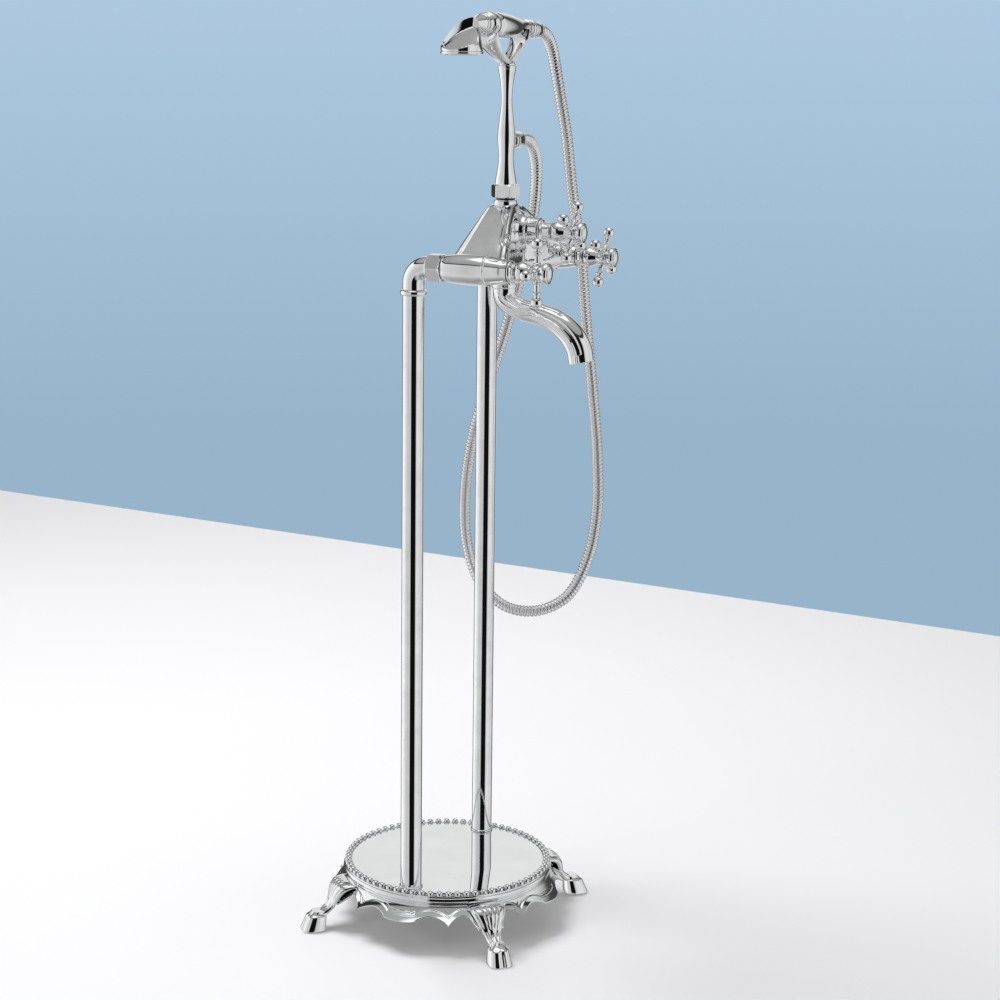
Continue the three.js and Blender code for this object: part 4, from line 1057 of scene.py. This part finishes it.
throat_profile = softened([
    (0, -73.6, 0), (4.6, -73.6, 0), (5.4, -71.6, 1), (6.8, -68, 2.5), (8.6, -63.8, 1.5), (9.8, -61.2, 0.6),
    (9.8, -60.5, 0.2), (0, -60.4, 0),
])
head_parts = [ring_faces(in_hand(hood_slices(), 0.0)),
              ring_faces(in_hand(moved(turned(softened(RIM_PROFILE), 160), x=RIM_X), 0.0)),
              ring_faces(in_hand(lengthways(turned(throat_profile))))]
head = add_skin(*gathered(head_parts), "shower_hood", "handset", chrome, 40.0)
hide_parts("handset_head")


NECK = HEAD_END + 0.3
neck_profile = softened([
    (0, NECK, 0), (9.6, NECK, 0.4), (10.8, NECK + 1.6, 1.0), (10.2, NECK + 3.6, 0.8), (9.4, NECK + 4.7, 0.4),
    (0, NECK + 4.7, 0),
])
neck_piece = skin(in_hand(lengthways(turned(neck_profile))), "ringed_neck", "handset", chrome)
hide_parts("neck_ring")

grip_profile = np.concatenate([
    softened([(0, -54.7, 0), (10.0, -54.7, 0.3), (12.0, -52.4, 1.4), (11.2, -49.9, 0.6), (10.4, -48.6, 0.5),
              (12.6, -47.0, 0.6), (13.8, -43.6, 2.0), (13.8, -38.8, 2.0), (12.6, -35.0, 0.8),
              (11.6, -33.4, 0.5)]),
    flowing([(12.3, -32.2), (13.2, -28), (13.6, -20), (13.4, -10), (12.6, 1), (11.2, 12), (9.8, 21),
             (9.3, 29), (9.3, 35.6)], 60),
    softened([(9.3, 35.8, 0.2), (10.5, 36.8, 0.6), (10.5, 38.6, 0.6), (9.4, 39.6, 0.4), (9.6, 43.2, 0.4),
              (9.0, 44.0, 0.3), (0, 44.0, 0)]),
])
grip = skin(in_hand(lengthways(turned(grip_profile))), "turned_grip", "handset", chrome, 40.0)
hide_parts("handset_grip")

ferrule_profile = softened([
    (0, 44.2, 0), (9.4, 44.2, 0.4), (10.9, 45.9, 1.0), (10.4, 47.8, 0.6), (9.2, 48.8, 0.4),
    (9.4, 50.2, 0.4), (0, 50.3, 0),
])
ferrule = skin(in_hand(lengthways(turned(ferrule_profile))), "turned_ferrule", "handset", chrome)
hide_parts("end_ferrule")

# The spray face is a pressed stainless plate with rings of fine holes, set in the rim of the hood.

spray_steel = polished_metal("spray_steel", (0.62, 0.62, 0.64), (0.50, 0.50, 0.52), (0.18, 0.30), 0.05, 150.0)


def spray_rings(around=144):
    """A shallow dome with a rolled rim; dimples stand at even angles on three circles."""
    r = np.concatenate([np.linspace(18.4, 17.0, 6), np.linspace(16.6, 0.3, 60)])
    turn = np.linspace(0, 2 * np.pi, around, endpoint=False)
    height = np.interp(r, [0, 16, 17.2, 18.4], [1.8, 0.9, 1.5, 0.2])[:, None] * np.ones(around)
    for circle, count in ((5.0, 6), (9.5, 12), (14.0, 18)):
        spacing = 2 * np.pi / count
        off = ((turn + spacing / 2) % spacing - spacing / 2) * circle
        height = height - 1.2 * np.exp(-((r[:, None] - circle) ** 2 + off[None, :] ** 2) / 0.55)
    face = np.stack([r[:, None] * np.cos(turn), r[:, None] * np.sin(turn), height], -1)
    back = np.stack([18.4 * np.cos(turn), 18.4 * np.sin(turn), np.full(around, -3.5)], -1)[None]
    face = np.concatenate([back, face])
    return np.stack([face[..., 0] + HEAD_X, -face[..., 1], -face[..., 2] - FACE_DROP], -1)


spray = skin(in_hand(spray_rings(), 0.0), "spray_plate", "handset", spray_steel, 50.0)
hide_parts("spray_face")

# ---------------------------------------------------------------- hose nuts
# Turned brass nuts, plated, with a tapered skirt over the crimped end of the hose.


def nut_profile(length):
    """A short barrel with a groove round it, then a taper down to a rolled end at the hose."""
    return softened([
        (0, 0, 0), (9.4, 0, 0.4), (10.0, 1.4, 0.6), (10.0, 4.6, 0.4), (9.3, 5.2, 0.2), (9.3, 6.0, 0.2),
        (9.9, 6.6, 0.4), (9.4, 12.0, 2.0), (8.9, length - 4.0, 1.0), (9.1, length - 2.6, 0.5),
        (8.7, length - 0.4, 0.5), (0, length - 0.3, 0),
    ])


UPPER_NUT_START = 50.6
UPPER_NUT_END = 70.0
LOWER_NUT_START = 11.3
LOWER_NUT_LENGTH = 25.0
upper = turned(nut_profile(UPPER_NUT_END - UPPER_NUT_START), 72)
upper_nut = skin(in_hand(lengthways(moved(upper, z=UPPER_NUT_START))), "upper_nut_taper", "handset", chrome)
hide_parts("upper_hose_nut")

lower = turned(nut_profile(LOWER_NUT_LENGTH), 72)
lower = sideways(moved(lower, z=LOWER_NUT_START), CORE_Y, OUTLET_Z)
lower_nut = skin(lower, "lower_nut_taper", "root", chrome)
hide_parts("lower_hose_nut")

# ---------------------------------------------------------------- inner pieces
# Brass tails and locknuts under the plate, rubber washers at the joints, brass cartridges and
# spindles in the valves, stainless screws and the flow straightener keep their plain shapes.

turned_brass = polished_metal("turned_brass", (0.72, 0.54, 0.26), (0.60, 0.44, 0.20), (0.22, 0.38),
                              0.08, 120.0)
plain_steel = polished_metal("plain_steel", (0.62, 0.63, 0.65), (0.50, 0.51, 0.53), (0.20, 0.34),
                             0.08, 160.0)


def black_rubber():
    """Soft black rubber with a fine matt grain."""
    material = bpy.data.materials.new("black_rubber")
    material.use_nodes = True
    nodes, links = material.node_tree.nodes, material.node_tree.links
    shader = nodes["Principled BSDF"]
    place = nodes.new("ShaderNodeTexCoord")
    grain = nodes.new("ShaderNodeTexNoise")
    grain.inputs["Scale"].default_value = 900.0
    links.new(place.outputs["Object"], grain.inputs["Vector"])
    tone = nodes.new("ShaderNodeValToRGB")
    tone.color_ramp.elements[0].color = (0.012, 0.012, 0.013, 1)
    tone.color_ramp.elements[1].color = (0.035, 0.034, 0.034, 1)
    links.new(grain.outputs["Fac"], tone.inputs["Fac"])
    links.new(tone.outputs["Color"], shader.inputs["Base Color"])
    shader.inputs["Roughness"].default_value = 0.75
    return material


rubber = black_rubber()
INNER = [(f"{name}_{part}", finish) for name, _ in SIDES
         for part, finish in (("inlet_tail", turned_brass), ("tail_washer", rubber),
                              ("tail_locknut", turned_brass), ("union_washer", rubber))]
INNER += [(f"{valve}_{part}", finish) for valve, *_ in VALVES
          for part, finish in (("cartridge", turned_brass), ("spindle", turned_brass),
                               ("handle_screw", plain_steel))]
INNER += [("aerator", plain_steel), ("cradle_washer", rubber)]
INNER += [(f"plate_screw_{k + 1}", plain_steel) for k in range(4)]
for node_name, finish in INNER:
    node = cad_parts[node_name]
    if node.material_slots:
        node.material_slots[0].material = finish
    else:
        node.data.materials.append(finish)
